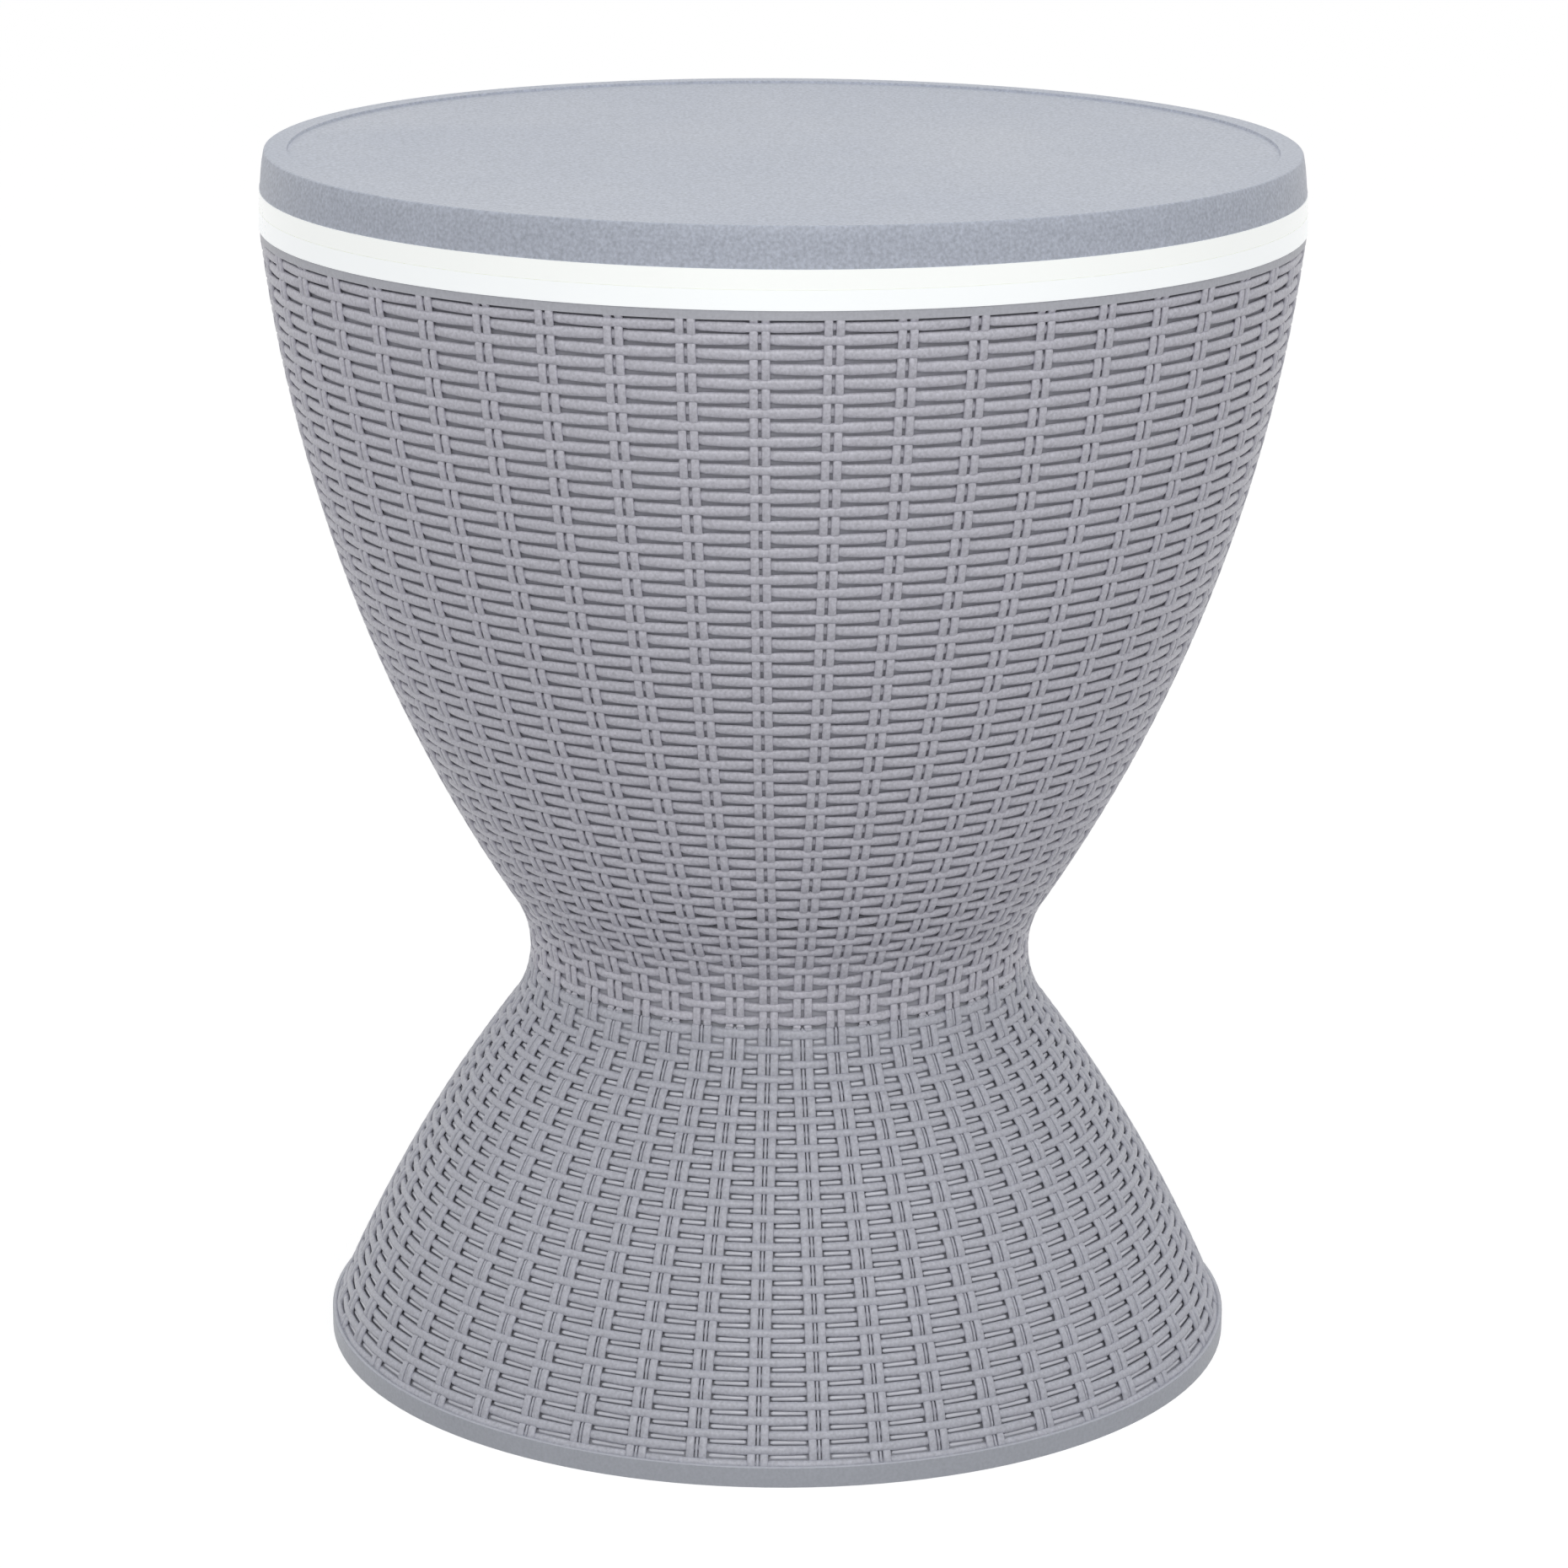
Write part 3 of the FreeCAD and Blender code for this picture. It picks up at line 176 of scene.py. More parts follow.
def strands(name, first_run, pitch, rows, first_under, over, under, spread=(1, 1), slope=0.0):
    """Rings of strand, one per row, each an oval carried round the side.

    Between two pairs a ring takes eight places: the pair's middle, its edges and the middle of
    the open stretch. The oval's depth and its reach up and down are those of a strand before or
    behind the pair, which changes from pair to pair and from row to row. Spread is how much wider
    the strands are than written, at the first row and at the last. Slope is how much further up
    the strand's upper side reaches at its back than an oval's would, for all rows or each.
    """
    row = np.arange(rows)
    run = first_run + pitch * (row + 0.5)
    radius = side(run, 0.0)[0]
    half_stretch = math.pi * radius / PAIRS
    across = np.zeros((rows, len(RING_PLACE)))
    across[:, :4] = STRAND_PLACES
    across[:, 4] = half_stretch
    across[:, 5:] = 2 * half_stretch[:, None] - STRAND_PLACES[:0:-1]
    pair = np.arange(PAIRS)[None, :, None]
    turn = pair_turn(pair) + (across / radius[:, None])[:, None, :]
    owner = pair + RING_OWNER
    is_over = (owner + row[:, None, None] + first_under) % 2 == 1
    depth, up, down = (np.where(is_over, before[RING_PLACE], behind[RING_PLACE])[..., None]
                       for before, behind in zip(over, under))
    spread_at = np.linspace(*spread, rows)[:, None, None, None]
    half = np.where(np.sin(STRAND_ROUND) > 0, up, down) * spread_at
    bulge = 1 - np.cos(STRAND_ROUND)
    run_at = run[:, None, None, None] + half * np.sin(STRAND_ROUND)
    run_at = run_at + slope * np.clip(np.sin(STRAND_ROUND), 0, 1) * bulge
    ring_radius, height = side(run_at, depth + STRAND_THICK * bulge)
    points = place(ring_radius, turn[..., None], height)
    return tubes(name, points.reshape(rows, -1, len(STRAND_ROUND), 3), True)


# The steps and depths of a stake round each row whose strand lies over it, and at its two ends.
# A stake's two sizes are its width and the gap between the two of a pair.
STAKE_THICK = 0.0011
STAKE_FLATNESS = 0.6
STAKE_ROUND = np.radians([-90, -60, -25, 25, 60, 90, 180])
STAKE_STEPS = np.array([-0.42, -0.27, 0.0, 0.27, 0.42, 1.0])
STAKE_DEPTHS = np.array([0.00012, 0.0007, 0.0014, 0.0007, 0.00012, 0.00002])
STAKE_END_STEPS = np.array([0.0, 0.1])
STAKE_END_DEPTHS = np.array([0.0006, 0.0001])
STAKE_END_CLEAR = 0.14
BASE_STAKE = (0.0033, 0.0018)


def flattened(wave):
    """A sine or cosine raised to a power under one with its sign kept, for a squarer oval."""
    return np.sign(wave) * np.abs(wave) ** STAKE_FLATNESS


def stakes(name, first_run, pitch, rows, first_over, first_pair, sizes, shifts=(-0.5, 0.5),
           sink=0.0):
    """Every second upright pair of stakes: flat ovals carried up the side, back under a strand.

    The depth goes from out to back and out again round each row whose strand lies over the
    pair. The shifts set the ovals beside the pair's middle, and the sink sets them further in.
    """
    middles = np.arange(first_over, rows, 2) + 0.5
    step = (middles[:, None] + STAKE_STEPS).ravel()
    depth = np.tile(STAKE_DEPTHS, len(middles))
    kept = (step > STAKE_END_CLEAR) & (step < rows - STAKE_END_CLEAR)
    step = np.concatenate([STAKE_END_STEPS, step[kept], rows - STAKE_END_STEPS[::-1]])
    depth = np.concatenate([STAKE_END_DEPTHS, depth[kept], STAKE_END_DEPTHS[::-1]])
    run = (first_run + pitch * step)[None, :, None]
    bulge = 1 - flattened(np.cos(STAKE_ROUND))
    radius, height = side(run, sink + depth[None, :, None] + STAKE_THICK * bulge)
    width, gap = sizes
    half = 0.5 * width * flattened(np.sin(STAKE_ROUND))
    pair = np.arange(first_pair, PAIRS, 2)[:, None, None]
    points = []
    for shift in shifts:
        turn = pair_turn(pair) + (shift * (gap + width) + half) / side(run, 0.0)[0]
        points.append(place(radius, turn, height))
    return tubes(name, np.concatenate(points)[:, :, ::-1], False)


def linear(red, green, blue):
    """A colour as the shader takes it, from its red, green and blue as seen, out of 255."""
    seen = np.array([red, green, blue]) / 255
    return (*np.where(seen > 0.04, ((seen + 0.055) / 1.055) ** 2.4, seen / 12.92), 1.0)


def group_of(name, inputs, outputs):
    """A new node group with number and colour sockets, and its input and output nodes."""
    group = bpy.data.node_groups.new(name, "ShaderNodeTree")
    for direction, sockets in (("INPUT", inputs), ("OUTPUT", outputs)):
        for socket in sockets:
            kind = "NodeSocketColor" if socket == "Colour" else "NodeSocketFloat"
            group.interface.new_socket(socket, in_out=direction, socket_type=kind)
    return group, group.nodes.new("NodeGroupInput"), group.nodes.new("NodeGroupOutput")


def feed(tree, socket, value):
    """A socket takes a plain value, or a link from the socket that feeds it."""
    if isinstance(value, bpy.types.NodeSocket):
        tree.links.new(value, socket)
    else:
        socket.default_value = value


def sum_node(tree, operation, *values):
    """A math node's result. Each value is a number or the socket that feeds it."""
    node = tree.nodes.new("ShaderNodeMath")
    node.operation = operation
    for socket, value in zip(node.inputs, values):
        feed(tree, socket, value)
    return node.outputs[0]


def shaded(tree, colour, factor):
    """A colour times a factor. Each is a plain value or a socket."""
    node = tree.nodes.new("ShaderNodeVectorMath")
    node.operation = "SCALE"
    feed(tree, node.inputs[0], colour)
    feed(tree, node.inputs["Scale"], factor)
    return node.outputs[0]


def own_place(tree):
    """A socket with places in the piece's own coordinates."""
    return tree.nodes.new("ShaderNodeTexCoord").outputs["Object"]


def own_axes(tree):
    """Three sockets with the piece's own coordinates one by one."""
    parts = tree.nodes.new("ShaderNodeSeparateXYZ")
    feed(tree, parts.inputs[0], own_place(tree))
    return parts.outputs


def noise_node(tree, where, scale, detail):
    """Noise from 0 to 1 over a socket's places. The scale is a number or a socket."""
    noise = tree.nodes.new("ShaderNodeTexNoise")
    feed(tree, noise.inputs["Vector"], where)
    feed(tree, noise.inputs["Scale"], scale)
    feed(tree, noise.inputs["Detail"], detail)
    return noise.outputs["Fac"]


def around_one(tree, noise, share):
    """One plus a share of how far the noise is from its middle."""
    return sum_node(tree, "MULTIPLY_ADD", sum_node(tree, "SUBTRACT", noise, 0.5), share, 1.0)


# Sparked grain is fine noise for the tool's texture, and wide soft noise for handling marks.
# It shades the colour and the gloss, and the fine noise is the height of the bump.
GRAIN_DETAIL = 3.0
HANDLING_SCALE = 9.0
HANDLING_DETAIL = 2.0
HANDLING_SHADE = 0.12
GLOSS_CHANGE = 0.25
grain, given, made = group_of("sparked_grain", ["Colour", "Scale", "Mottle", "Gloss"],
                              ["Colour", "Roughness", "Height"])
fine = noise_node(grain, own_place(grain), given.outputs["Scale"], GRAIN_DETAIL)
wide = noise_node(grain, own_place(grain), HANDLING_SCALE, HANDLING_DETAIL)
shade = sum_node(grain, "MULTIPLY", around_one(grain, fine, given.outputs["Mottle"]),
                 around_one(grain, wide, HANDLING_SHADE))
rough = sum_node(grain, "MULTIPLY_ADD", sum_node(grain, "SUBTRACT", wide, fine), GLOSS_CHANGE,
                 given.outputs["Gloss"])
feed(grain, made.inputs["Colour"], shaded(grain, given.outputs["Colour"], shade))
feed(grain, made.inputs["Roughness"], rough)
feed(grain, made.inputs["Height"], fine)


# A parting line is a hair-fine ridge up the side, where two jaws of the tool met. One stands at
# every eighth of a turn, and its height is added to the grain's.
HALF_JAW_TURN = 22.5
PARTING_EDGE = 0.00035
PARTING_CREST = 0.0001
PARTING_RISE = 2.0
parting, given, made = group_of("parting_line", ["Turn", "Height"], ["Height"])
x, y = own_axes(parting)[:2]
angle = sum_node(parting, "DEGREES", sum_node(parting, "ARCTAN2", x,
                                              sum_node(parting, "MULTIPLY", y, -1.0)))
offset = sum_node(parting, "WRAP", sum_node(parting, "SUBTRACT", angle, given.outputs["Turn"]),
                  HALF_JAW_TURN, -HALF_JAW_TURN)
squares = sum_node(parting, "ADD", sum_node(parting, "POWER", x, 2.0),
                   sum_node(parting, "POWER", y, 2.0))
aside = sum_node(parting, "MULTIPLY",
                 sum_node(parting, "ABSOLUTE", sum_node(parting, "RADIANS", offset)),
                 sum_node(parting, "SQRT", squares))
ridge = parting.nodes.new("ShaderNodeMapRange")
ridge.interpolation_type = "SMOOTHSTEP"
feed(parting, ridge.inputs["Value"], aside)
feed(parting, ridge.inputs["From Min"], PARTING_EDGE)
feed(parting, ridge.inputs["From Max"], PARTING_CREST)
risen = sum_node(parting, "MULTIPLY_ADD", ridge.outputs["Result"], PARTING_RISE,
                 given.outputs["Height"])
feed(parting, made.inputs["Height"], risen)


def new_material(name):
    """A new material, its node tree and its shader."""
    material = bpy.data.materials.new(name)
    material.use_nodes = True
    return material, material.node_tree, material.node_tree.nodes["Principled BSDF"]


def group_node(tree, group, **values):
    """The outputs of a node group placed in a tree, with its inputs fed by name."""
    node = tree.nodes.new("ShaderNodeGroup")
    node.node_tree = group
    for socket, value in values.items():
        feed(tree, node.inputs[socket], value)
    return node.outputs


def grained(name, colour, roughness, scale=800.0, mottle=0.3, depth=0.00003, parting_turn=None,
            **finish):
    """A material with the sparked grain, and with parting lines where a turn is given for them."""
    material, tree, shader = new_material(name)
    texture = group_node(tree, grain, Colour=linear(*colour), Scale=scale, Mottle=mottle,
                         Gloss=roughness)
    height = texture["Height"]
    if parting_turn is not None:
        height = group_node(tree, parting, Turn=parting_turn, Height=height)["Height"]
    bump = tree.nodes.new("ShaderNodeBump")
    feed(tree, bump.inputs["Strength"], 1.0)
    feed(tree, bump.inputs["Distance"], depth)
    feed(tree, bump.inputs["Height"], height)
    feed(tree, shader.inputs["Base Color"], texture["Colour"])
    feed(tree, shader.inputs["Roughness"], texture["Roughness"])
    feed(tree, shader.inputs["Normal"], bump.outputs["Normal"])
    for socket, value in finish.items():
        feed(tree, shader.inputs[socket], value)
    return material


def finished(piece, material, body):
    """A new piece gets its material and rides on a body."""
    piece.data.materials.append(material)
    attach(piece, body)


BASE_PARTING = 20.2
base_woven = grained("base_woven", (185, 186, 195), 0.4, mottle=0.7, parting_turn=BASE_PARTING)
for piece in (
    strands("base_strands", *BASE_WEAVE, 0, BASE_OVER, BASE_UNDER, BASE_SPREAD, BASE_SLOPE),
    stakes("base_stakes_odd", *BASE_WEAVE, 0, 1, BASE_STAKE),
    stakes("base_stakes_even", *BASE_WEAVE, 1, 0, BASE_STAKE),
):
    finished(piece, base_woven, "stand")


# The base's wall closes the skirt behind the strands and ends in a plain hem on the floor.
# Inside it carries upright ribs and a flange that the bowl is screwed to.
BASE_WALL_DEPTH = 0.0027
BASE_WOVEN = (0.0081, 0.1612)
MOVED_WITHIN = 0.0028
DRESSED_WITHIN = 0.0034
TINY = 1e-6
SMOOTH_UP_TO = 30.0


def merged_copy(node, name, smooth_up_to=SMOOTH_UP_TO):
    """A copy of a node's mesh with its corners merged, shaded smooth up to an angle."""
    mesh = nodes[node].data.copy()
    mesh.name = name
    mesh.materials.clear()
    if "custom_normal" in mesh.attributes:
        mesh.attributes.remove(mesh.attributes["custom_normal"])
    joined = bmesh.new()
    joined.from_mesh(mesh)
    bmesh.ops.remove_doubles(joined, verts=joined.verts, dist=TINY)
    joined.to_mesh(mesh)
    joined.free()
    mesh.shade_smooth()
    mesh.set_sharp_from_angle(angle=math.radians(smooth_up_to))
    return added(name, mesh)


def read(collection, field, width):
    """A field of a mesh's points or faces as an array."""
    values = np.empty(len(collection) * width, dtype=np.float32)
    collection.foreach_get(field, values)
    return values.reshape(-1, width).astype(float)


def reach_out(mesh, points, new_radius, new_height):
    """A mesh's points go straight out or in to a new radius, and to a new height."""
    radius = np.hypot(points[:, 0], points[:, 1])
    points[:, :2] *= (new_radius / np.maximum(radius, TINY))[:, None]
    points[:, 2] = new_height
    mesh.vertices.foreach_set("co", points.ravel())
    mesh.update()


def depth_of(points):
    """How far inside the woven side points lie, the round stretch they face, and their arm to it.

    The arm goes to a point from the stretch's centre, and the depth is the stretch's bow less
    the arm's length, both with the bow's sign.
    """
    radius = np.hypot(points[:, 0], points[:, 1])
    height = points[:, 2]
    stretch = np.searchsorted(side(RUNS[1:-1], 0.0)[1], height)
    arm = np.stack([radius, height], axis=1) - CENTRES[stretch]
    reach = np.sign(BOWS[stretch]) * np.hypot(arm[:, 0], arm[:, 1])
    return BOWS[stretch] - reach, stretch, arm


def own_wall(piece, woven, wall_depth):
    """The wall's outer face, ribs and all, is set at one depth behind the strands."""
    points = read(piece.data.vertices, "co", 3)
    height = points[:, 2]
    depth, stretch, arm = depth_of(points)
    outer = (depth < MOVED_WITHIN) & (height > woven[0]) & (height < woven[1])
    length = np.hypot(arm[:, 0], arm[:, 1])[:, None]
    moved = CENTRES[stretch] + arm / length * np.abs(BOWS[stretch] - wall_depth)[:, None]
    radius = np.where(outer, moved[:, 0], np.hypot(points[:, 0], points[:, 1]))
    reach_out(piece.data, points, radius, np.where(outer, moved[:, 1], height))


def dress_wall(piece, woven, band, painted_shade_back, inside):
    """Outer faces between two heights get the window back with its painted shade, other outer ones
    the band's finish.
    """
    centre = read(piece.data.polygons, "center", 3)
    outer = depth_of(centre)[0] < DRESSED_WITHIN
    is_woven = outer & (centre[:, 2] > woven[0]) & (centre[:, 2] < woven[1])
    slot = np.where(is_woven, 1, np.where(outer, 0, 2)).astype(np.int32)
    for material in (band, painted_shade_back, inside):
        piece.data.materials.append(material)
    piece.data.polygons.foreach_set("material_index", slot)


base_wall = merged_copy("base_shell", "base_wall")
own_wall(base_wall, BASE_WOVEN, BASE_WALL_DEPTH)
hem_grey = grained("hem_grey", (175, 178, 186), 0.45, parting_turn=BASE_PARTING)
# The wall's faces between the strands are painted darker than the strands, as shade in the
# recesses.
base_back_painted_shade = grained("base_back_painted_shade", (150, 151, 158), 0.5)
inside_grey = grained("inside_grey", (150, 151, 158), 0.5)
dress_wall(base_wall, BASE_WOVEN, hem_grey, base_back_painted_shade, inside_grey)
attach(base_wall, "stand")
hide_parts("base_shell")


# In each opening of the base's weave swells a low pane, smoother and paler than the strands, with
# a dark groove round it, dark by its depth and by the painted shade on the wall behind. Between
# the two stakes of a pair runs a narrow strip.
PANE_DEPTHS = np.array([0.0029, 0.0023, 0.00185, 0.0017])
PANE_LENGTHS = np.array([1.0, 0.99, 0.96, 0.9])
PANE_TOPS = np.array([1.2, 1.05, 0.82, 0.42])
PANE_FEET = np.array([1.0, 0.86, 0.58, 0.22])
PANE_OUTLINE = np.array([[1, 0.6], [0.85, 1], [-0.85, 1], [-1, 0.6],
                         [-1, -0.6], [-0.85, -1], [0.85, -1], [1, -0.6]])
PANE_HALF_HEIGHT = 0.00098
PANE_MARGIN = 0.0046
STRIP = (0.0011, 0.0)
STRIP_SINK = 0.00045


def panes(name):
    """Panes between every two rows and pairs: rounded oblongs in four rings that narrow outwards.

    Upwards they reach further than downwards, in behind the strand above.
    """
    row, pair = np.meshgrid(np.arange(1, BASE_ROWS), np.arange(PAIRS), indexing="ij")
    run = (BASE_START + BASE_PITCH * row).ravel()[:, None, None]
    middle = pair_turn(pair + 0.5).ravel()[:, None, None]
    radius_here = side(run, 0.0)[0]
    half_width = math.pi * radius_here / PAIRS - PANE_MARGIN
    aside, rise = PANE_OUTLINE.T
    share = np.where(rise > 0, PANE_TOPS[:, None], PANE_FEET[:, None])
    turn = middle + PANE_LENGTHS[:, None] * half_width * aside / radius_here
    radius, height = side(run + share * PANE_HALF_HEIGHT * rise, PANE_DEPTHS[:, None])
    return tubes(name, place(radius, turn, height), False)


pane_grey = grained("pane_grey", (204, 205, 213), 0.26, scale=70.0, mottle=0.5, depth=0.00001,
                    **{"Coat Weight": 0.5, "Coat Roughness": 0.15})
finished(panes("base_panes"), pane_grey, "stand")
for name, first in (("base_strips_odd", 0), ("base_strips_even", 1)):
    strip = stakes(name, *BASE_WEAVE, first, 1 - first, STRIP, (0.0,), STRIP_SINK)
    finished(strip, base_woven, "stand")


# A small bead runs round the top of the hem, where the plain band meets the first strand.
# It is moulded with the base.
RING_STEPS = 256
OVAL_CORNERS = 10
HEM_BEAD = (0.1879, 0.0078, 0.0009, 0.0006)


def turned(name, outline):
    """A ring turned from a closed outline of radius and height, given outer side going up."""
    turn = np.linspace(0, 2 * math.pi, RING_STEPS, endpoint=False)[:, None]
    return tubes(name, place(outline[:, 0], turn, outline[:, 1])[None], True)


def oval(radius, height, half_width, half_height):
    """Outline of a flat oval whose middle is at a radius and height."""
    sweep = np.linspace(0, 2 * math.pi, OVAL_CORNERS, endpoint=False)
    return np.stack([radius + half_width * np.cos(sweep), height + half_height * np.sin(sweep)],
                    axis=1)


hem_bead_grey = grained("hem_bead_grey", (186, 188, 197), 0.35)
finished(turned("hem_bead", oval(*HEM_BEAD)), hem_bead_grey, "stand")


# The bowl is the upper half of the body, woven to look at in the same way but with fatter strands.
# It widens from the waist to the rim, where the last strand runs under a plain band.
JOINT_RUN = 0.1827
BOWL_PITCH = 0.005618
BOWL_ROWS = 58
BOWL_WEAVE = (JOINT_RUN, BOWL_PITCH, BOWL_ROWS)
BOWL_OVER = (np.array([0.0, 0.00002, 0.00006, 0.00016, 0.00028]),
             np.array([0.00170, 0.00168, 0.00176, 0.00188, 0.00194]),
             np.array([0.00178, 0.00178, 0.00196, 0.00218, 0.00210]))
BOWL_UNDER = (np.array([0.0012, 0.0012, 0.0009, 0.00042, 0.00028]),
              np.array([0.00190, 0.00190, 0.00190, 0.00190, 0.00194]),
              np.array([0.00172, 0.00172, 0.00174, 0.00184, 0.00210]))
BOWL_SLOPE = 0.0004
BOWL_STAKE = (0.0033, 0.0011)
BOWL_PARTING = -2.3
LOW_ROWS = 29
LOW_SPREAD = (0.86, 1.0)
HIGH_RUN = JOINT_RUN + LOW_ROWS * BOWL_PITCH
HIGH_ROWS = BOWL_ROWS - 1 - LOW_ROWS
TOP_RUN = JOINT_RUN + (BOWL_ROWS - 1) * BOWL_PITCH
TOP_PITCH = 0.0044
bowl_woven = grained("bowl_woven", (196, 195, 204), 0.38, mottle=0.8, parting_turn=BOWL_PARTING)
for piece in (
    strands("bowl_strands_low", JOINT_RUN, BOWL_PITCH, LOW_ROWS, 0, BOWL_OVER, BOWL_UNDER,
            LOW_SPREAD, BOWL_SLOPE),
    strands("bowl_strands_high", HIGH_RUN, BOWL_PITCH, HIGH_ROWS, 1, BOWL_OVER, BOWL_UNDER,
            slope=BOWL_SLOPE),
    strands("top_strand", TOP_RUN, TOP_PITCH, 1, 1, BOWL_OVER, BOWL_UNDER),
    stakes("bowl_stakes_odd", *BOWL_WEAVE, 0, 1, BOWL_STAKE),
    stakes("bowl_stakes_even", *BOWL_WEAVE, 1, 0, BOWL_STAKE),
):
    finished(piece, bowl_woven, "stand")


# The bowl's wall closes the weave from behind and ends in a plain band at the rim. Two rows of
# narrow slits let air through it below the bucket. They lie in the gaps between the strands, one
# between each two pairs of stakes, and show dark.
BOWL_WALL_DEPTH = 0.0021
BOWL_WOVEN = (0.1618, 0.4642)
SLIT_ROWS = (9, 10)
SLIT_HALF_HEIGHT = 0.0008
SLIT_MARGIN = 0.0042
SLIT_DEPTHS = np.array([-0.001, 0.008])
BLOCK_FACES = np.array([[0, 1, 3, 2], [4, 6, 7, 5], [0, 4, 5, 1],
                        [2, 3, 7, 6], [0, 2, 6, 4], [1, 5, 7, 3]])


def blocks(name, corners):
    """Blocks with six faces each, from arrays of eight corners."""
    faces = BLOCK_FACES[None] + 8 * np.arange(len(corners))[:, None, None]
    return piece_of(name, corners, faces.reshape(-1, 4).tolist())


def slit_blocks(name):
    """Blocks through the wall, one per gap and row.

    A block spans from one pair's side to the next, and its eight corners are places on the side
    at two depths, two runs and two turns.
    """
    rows = []
    pair = np.arange(PAIRS)[:, None, None, None]
    for line in SLIT_ROWS:
        run = JOINT_RUN + BOWL_PITCH * line + SLIT_HALF_HEIGHT * np.array([-1, 1])
        margin = SLIT_MARGIN / side(run, 0.0)[0].mean()
        ends = margin + np.array([0, 1]) * (2 * math.pi / PAIRS - 2 * margin)
        radius, height = side(run[:, None], SLIT_DEPTHS[:, None, None])
        rows.append(place(radius, pair_turn(pair) + ends, height).reshape(-1, 8, 3))
    return blocks(name, np.concatenate(rows))


def face_outwards(mesh):
    """A closed mesh has its faces turned to point outwards."""
    shape = bmesh.new()
    shape.from_mesh(mesh)
    bmesh.ops.recalc_face_normals(shape, faces=shape.faces)
    shape.to_mesh(mesh)
    shape.free()


def cut_out(piece, tool):
    """The tool's shape is cut out of a piece for good, and the tool is thrown away."""
    face_outwards(tool.data)
    cut = piece.modifiers.new("cut", "BOOLEAN")
    cut.operation = "DIFFERENCE"
    cut.solver = "EXACT"
    cut.object = tool
    evaluated = piece.evaluated_get(bpy.context.evaluated_depsgraph_get())
    mesh = bpy.data.meshes.new_from_object(evaluated)
    mesh.name = piece.name
    piece.modifiers.clear()
    piece.data = mesh
    mesh.set_sharp_from_angle(angle=math.radians(SMOOTH_UP_TO))
    bpy.data.objects.remove(tool)


bowl_wall = merged_copy("bowl_shell", "bowl_wall")
own_wall(bowl_wall, BOWL_WOVEN, BOWL_WALL_DEPTH)
cut_out(bowl_wall, slit_blocks("slits"))
bowl_wall.data.materials.clear()
rim_grey = grained("rim_grey", (184, 185, 192), 0.4, parting_turn=BOWL_PARTING)
# The wall's faces between the strands are painted darker than the strands, as shade in the gaps.
bowl_back_painted_shade = grained("bowl_back_painted_shade", (168, 168, 176), 0.5)
dress_wall(bowl_wall, BOWL_WOVEN, rim_grey, bowl_back_painted_shade, inside_grey)
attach(bowl_wall, "stand")
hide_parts("bowl_shell")


# The two shells are joined at the waist by eight pan-head screws up through the base's flange.
# The same screws, of plated steel, hold the battery box and its control cover.
SCREW_CORNERS = 24
SCREW_STEPS = np.linspace(1.0, 0.0, 7)[:-1, None]
CROSS_HALF_WIDTH = 0.13
CROSS_REACH = 0.62
CROSS_HEIGHT = 0.45
SCREW_SMOOTH_UP_TO = 35.0
FLANGE_SCREWS = 8
FLANGE_RADIUS = 0.0912
FLANGE_SEAT = 0.1575
FLANGE_SCREW = (0.0034, 0.0016)


def screws(name, places, radius, height):
    """Pan heads that hang from flat seats: domes whose cross-shaped recess is pressed in.

    The dome's height is its own height times the root of one less the cube of the share of its
    radius. Where a place lies within a narrow cross it is less than half as high.
    """
    turn = np.linspace(0, 2 * math.pi, SCREW_CORNERS, endpoint=False)
    x, y = SCREW_STEPS * np.cos(turn), SCREW_STEPS * np.sin(turn)
    rise = np.sqrt(np.clip(1 - SCREW_STEPS ** 3, 0, 1))
    cross = (np.minimum(np.abs(x), np.abs(y)) < CROSS_HALF_WIDTH) & (SCREW_STEPS < CROSS_REACH)
    rise = np.where(cross, CROSS_HEIGHT * rise, rise)
    rings = points_of(radius * x, radius * y, -height * rise)
    one = np.concatenate([rings.reshape(-1, 3), [[0.0, 0.0, -CROSS_HEIGHT * height]]])
    index = np.arange(len(one) - 1).reshape(-1, SCREW_CORNERS)
    outer, inner = index[:-1], index[1:]
    quads = np.stack([inner, np.roll(inner, -1, 1), np.roll(outer, -1, 1), outer], axis=-1)
    last = index[-1].tolist()
    fans = [[len(one) - 1, b, a] for a, b in zip(last, [*last[1:], last[0]])]
    faces = [*quads.reshape(-1, 4).tolist(), *fans, index[0].tolist()]
    every = [[corner + len(one) * screw for corner in face]
             for screw in range(len(places)) for face in faces]
    piece = piece_of(name, one + np.array(places)[:, None, :], every)
    piece.data.set_sharp_from_angle(angle=math.radians(SCREW_SMOOTH_UP_TO))
    return piece


screw_steel = grained("screw_steel", (196, 197, 200), 0.3, scale=2500.0, mottle=0.1, Metallic=1.0)
flange_turns = (np.arange(FLANGE_SCREWS) + 0.5) * 2 * math.pi / FLANGE_SCREWS
flange_places = place(FLANGE_RADIUS, flange_turns, FLANGE_SEAT)
flange_screws = screws("flange_screws", flange_places, *FLANGE_SCREW)
finished(flange_screws, screw_steel, "stand")


# The ice bucket is one white moulding, smooth inside, whose lip shows as the upper half of the
# white band under the lid, with a painted glow on it. A drain nozzle hangs under its floor.
BUCKET_SMOOTH_UP_TO = 40.0
LIP_RADIUS = 0.2
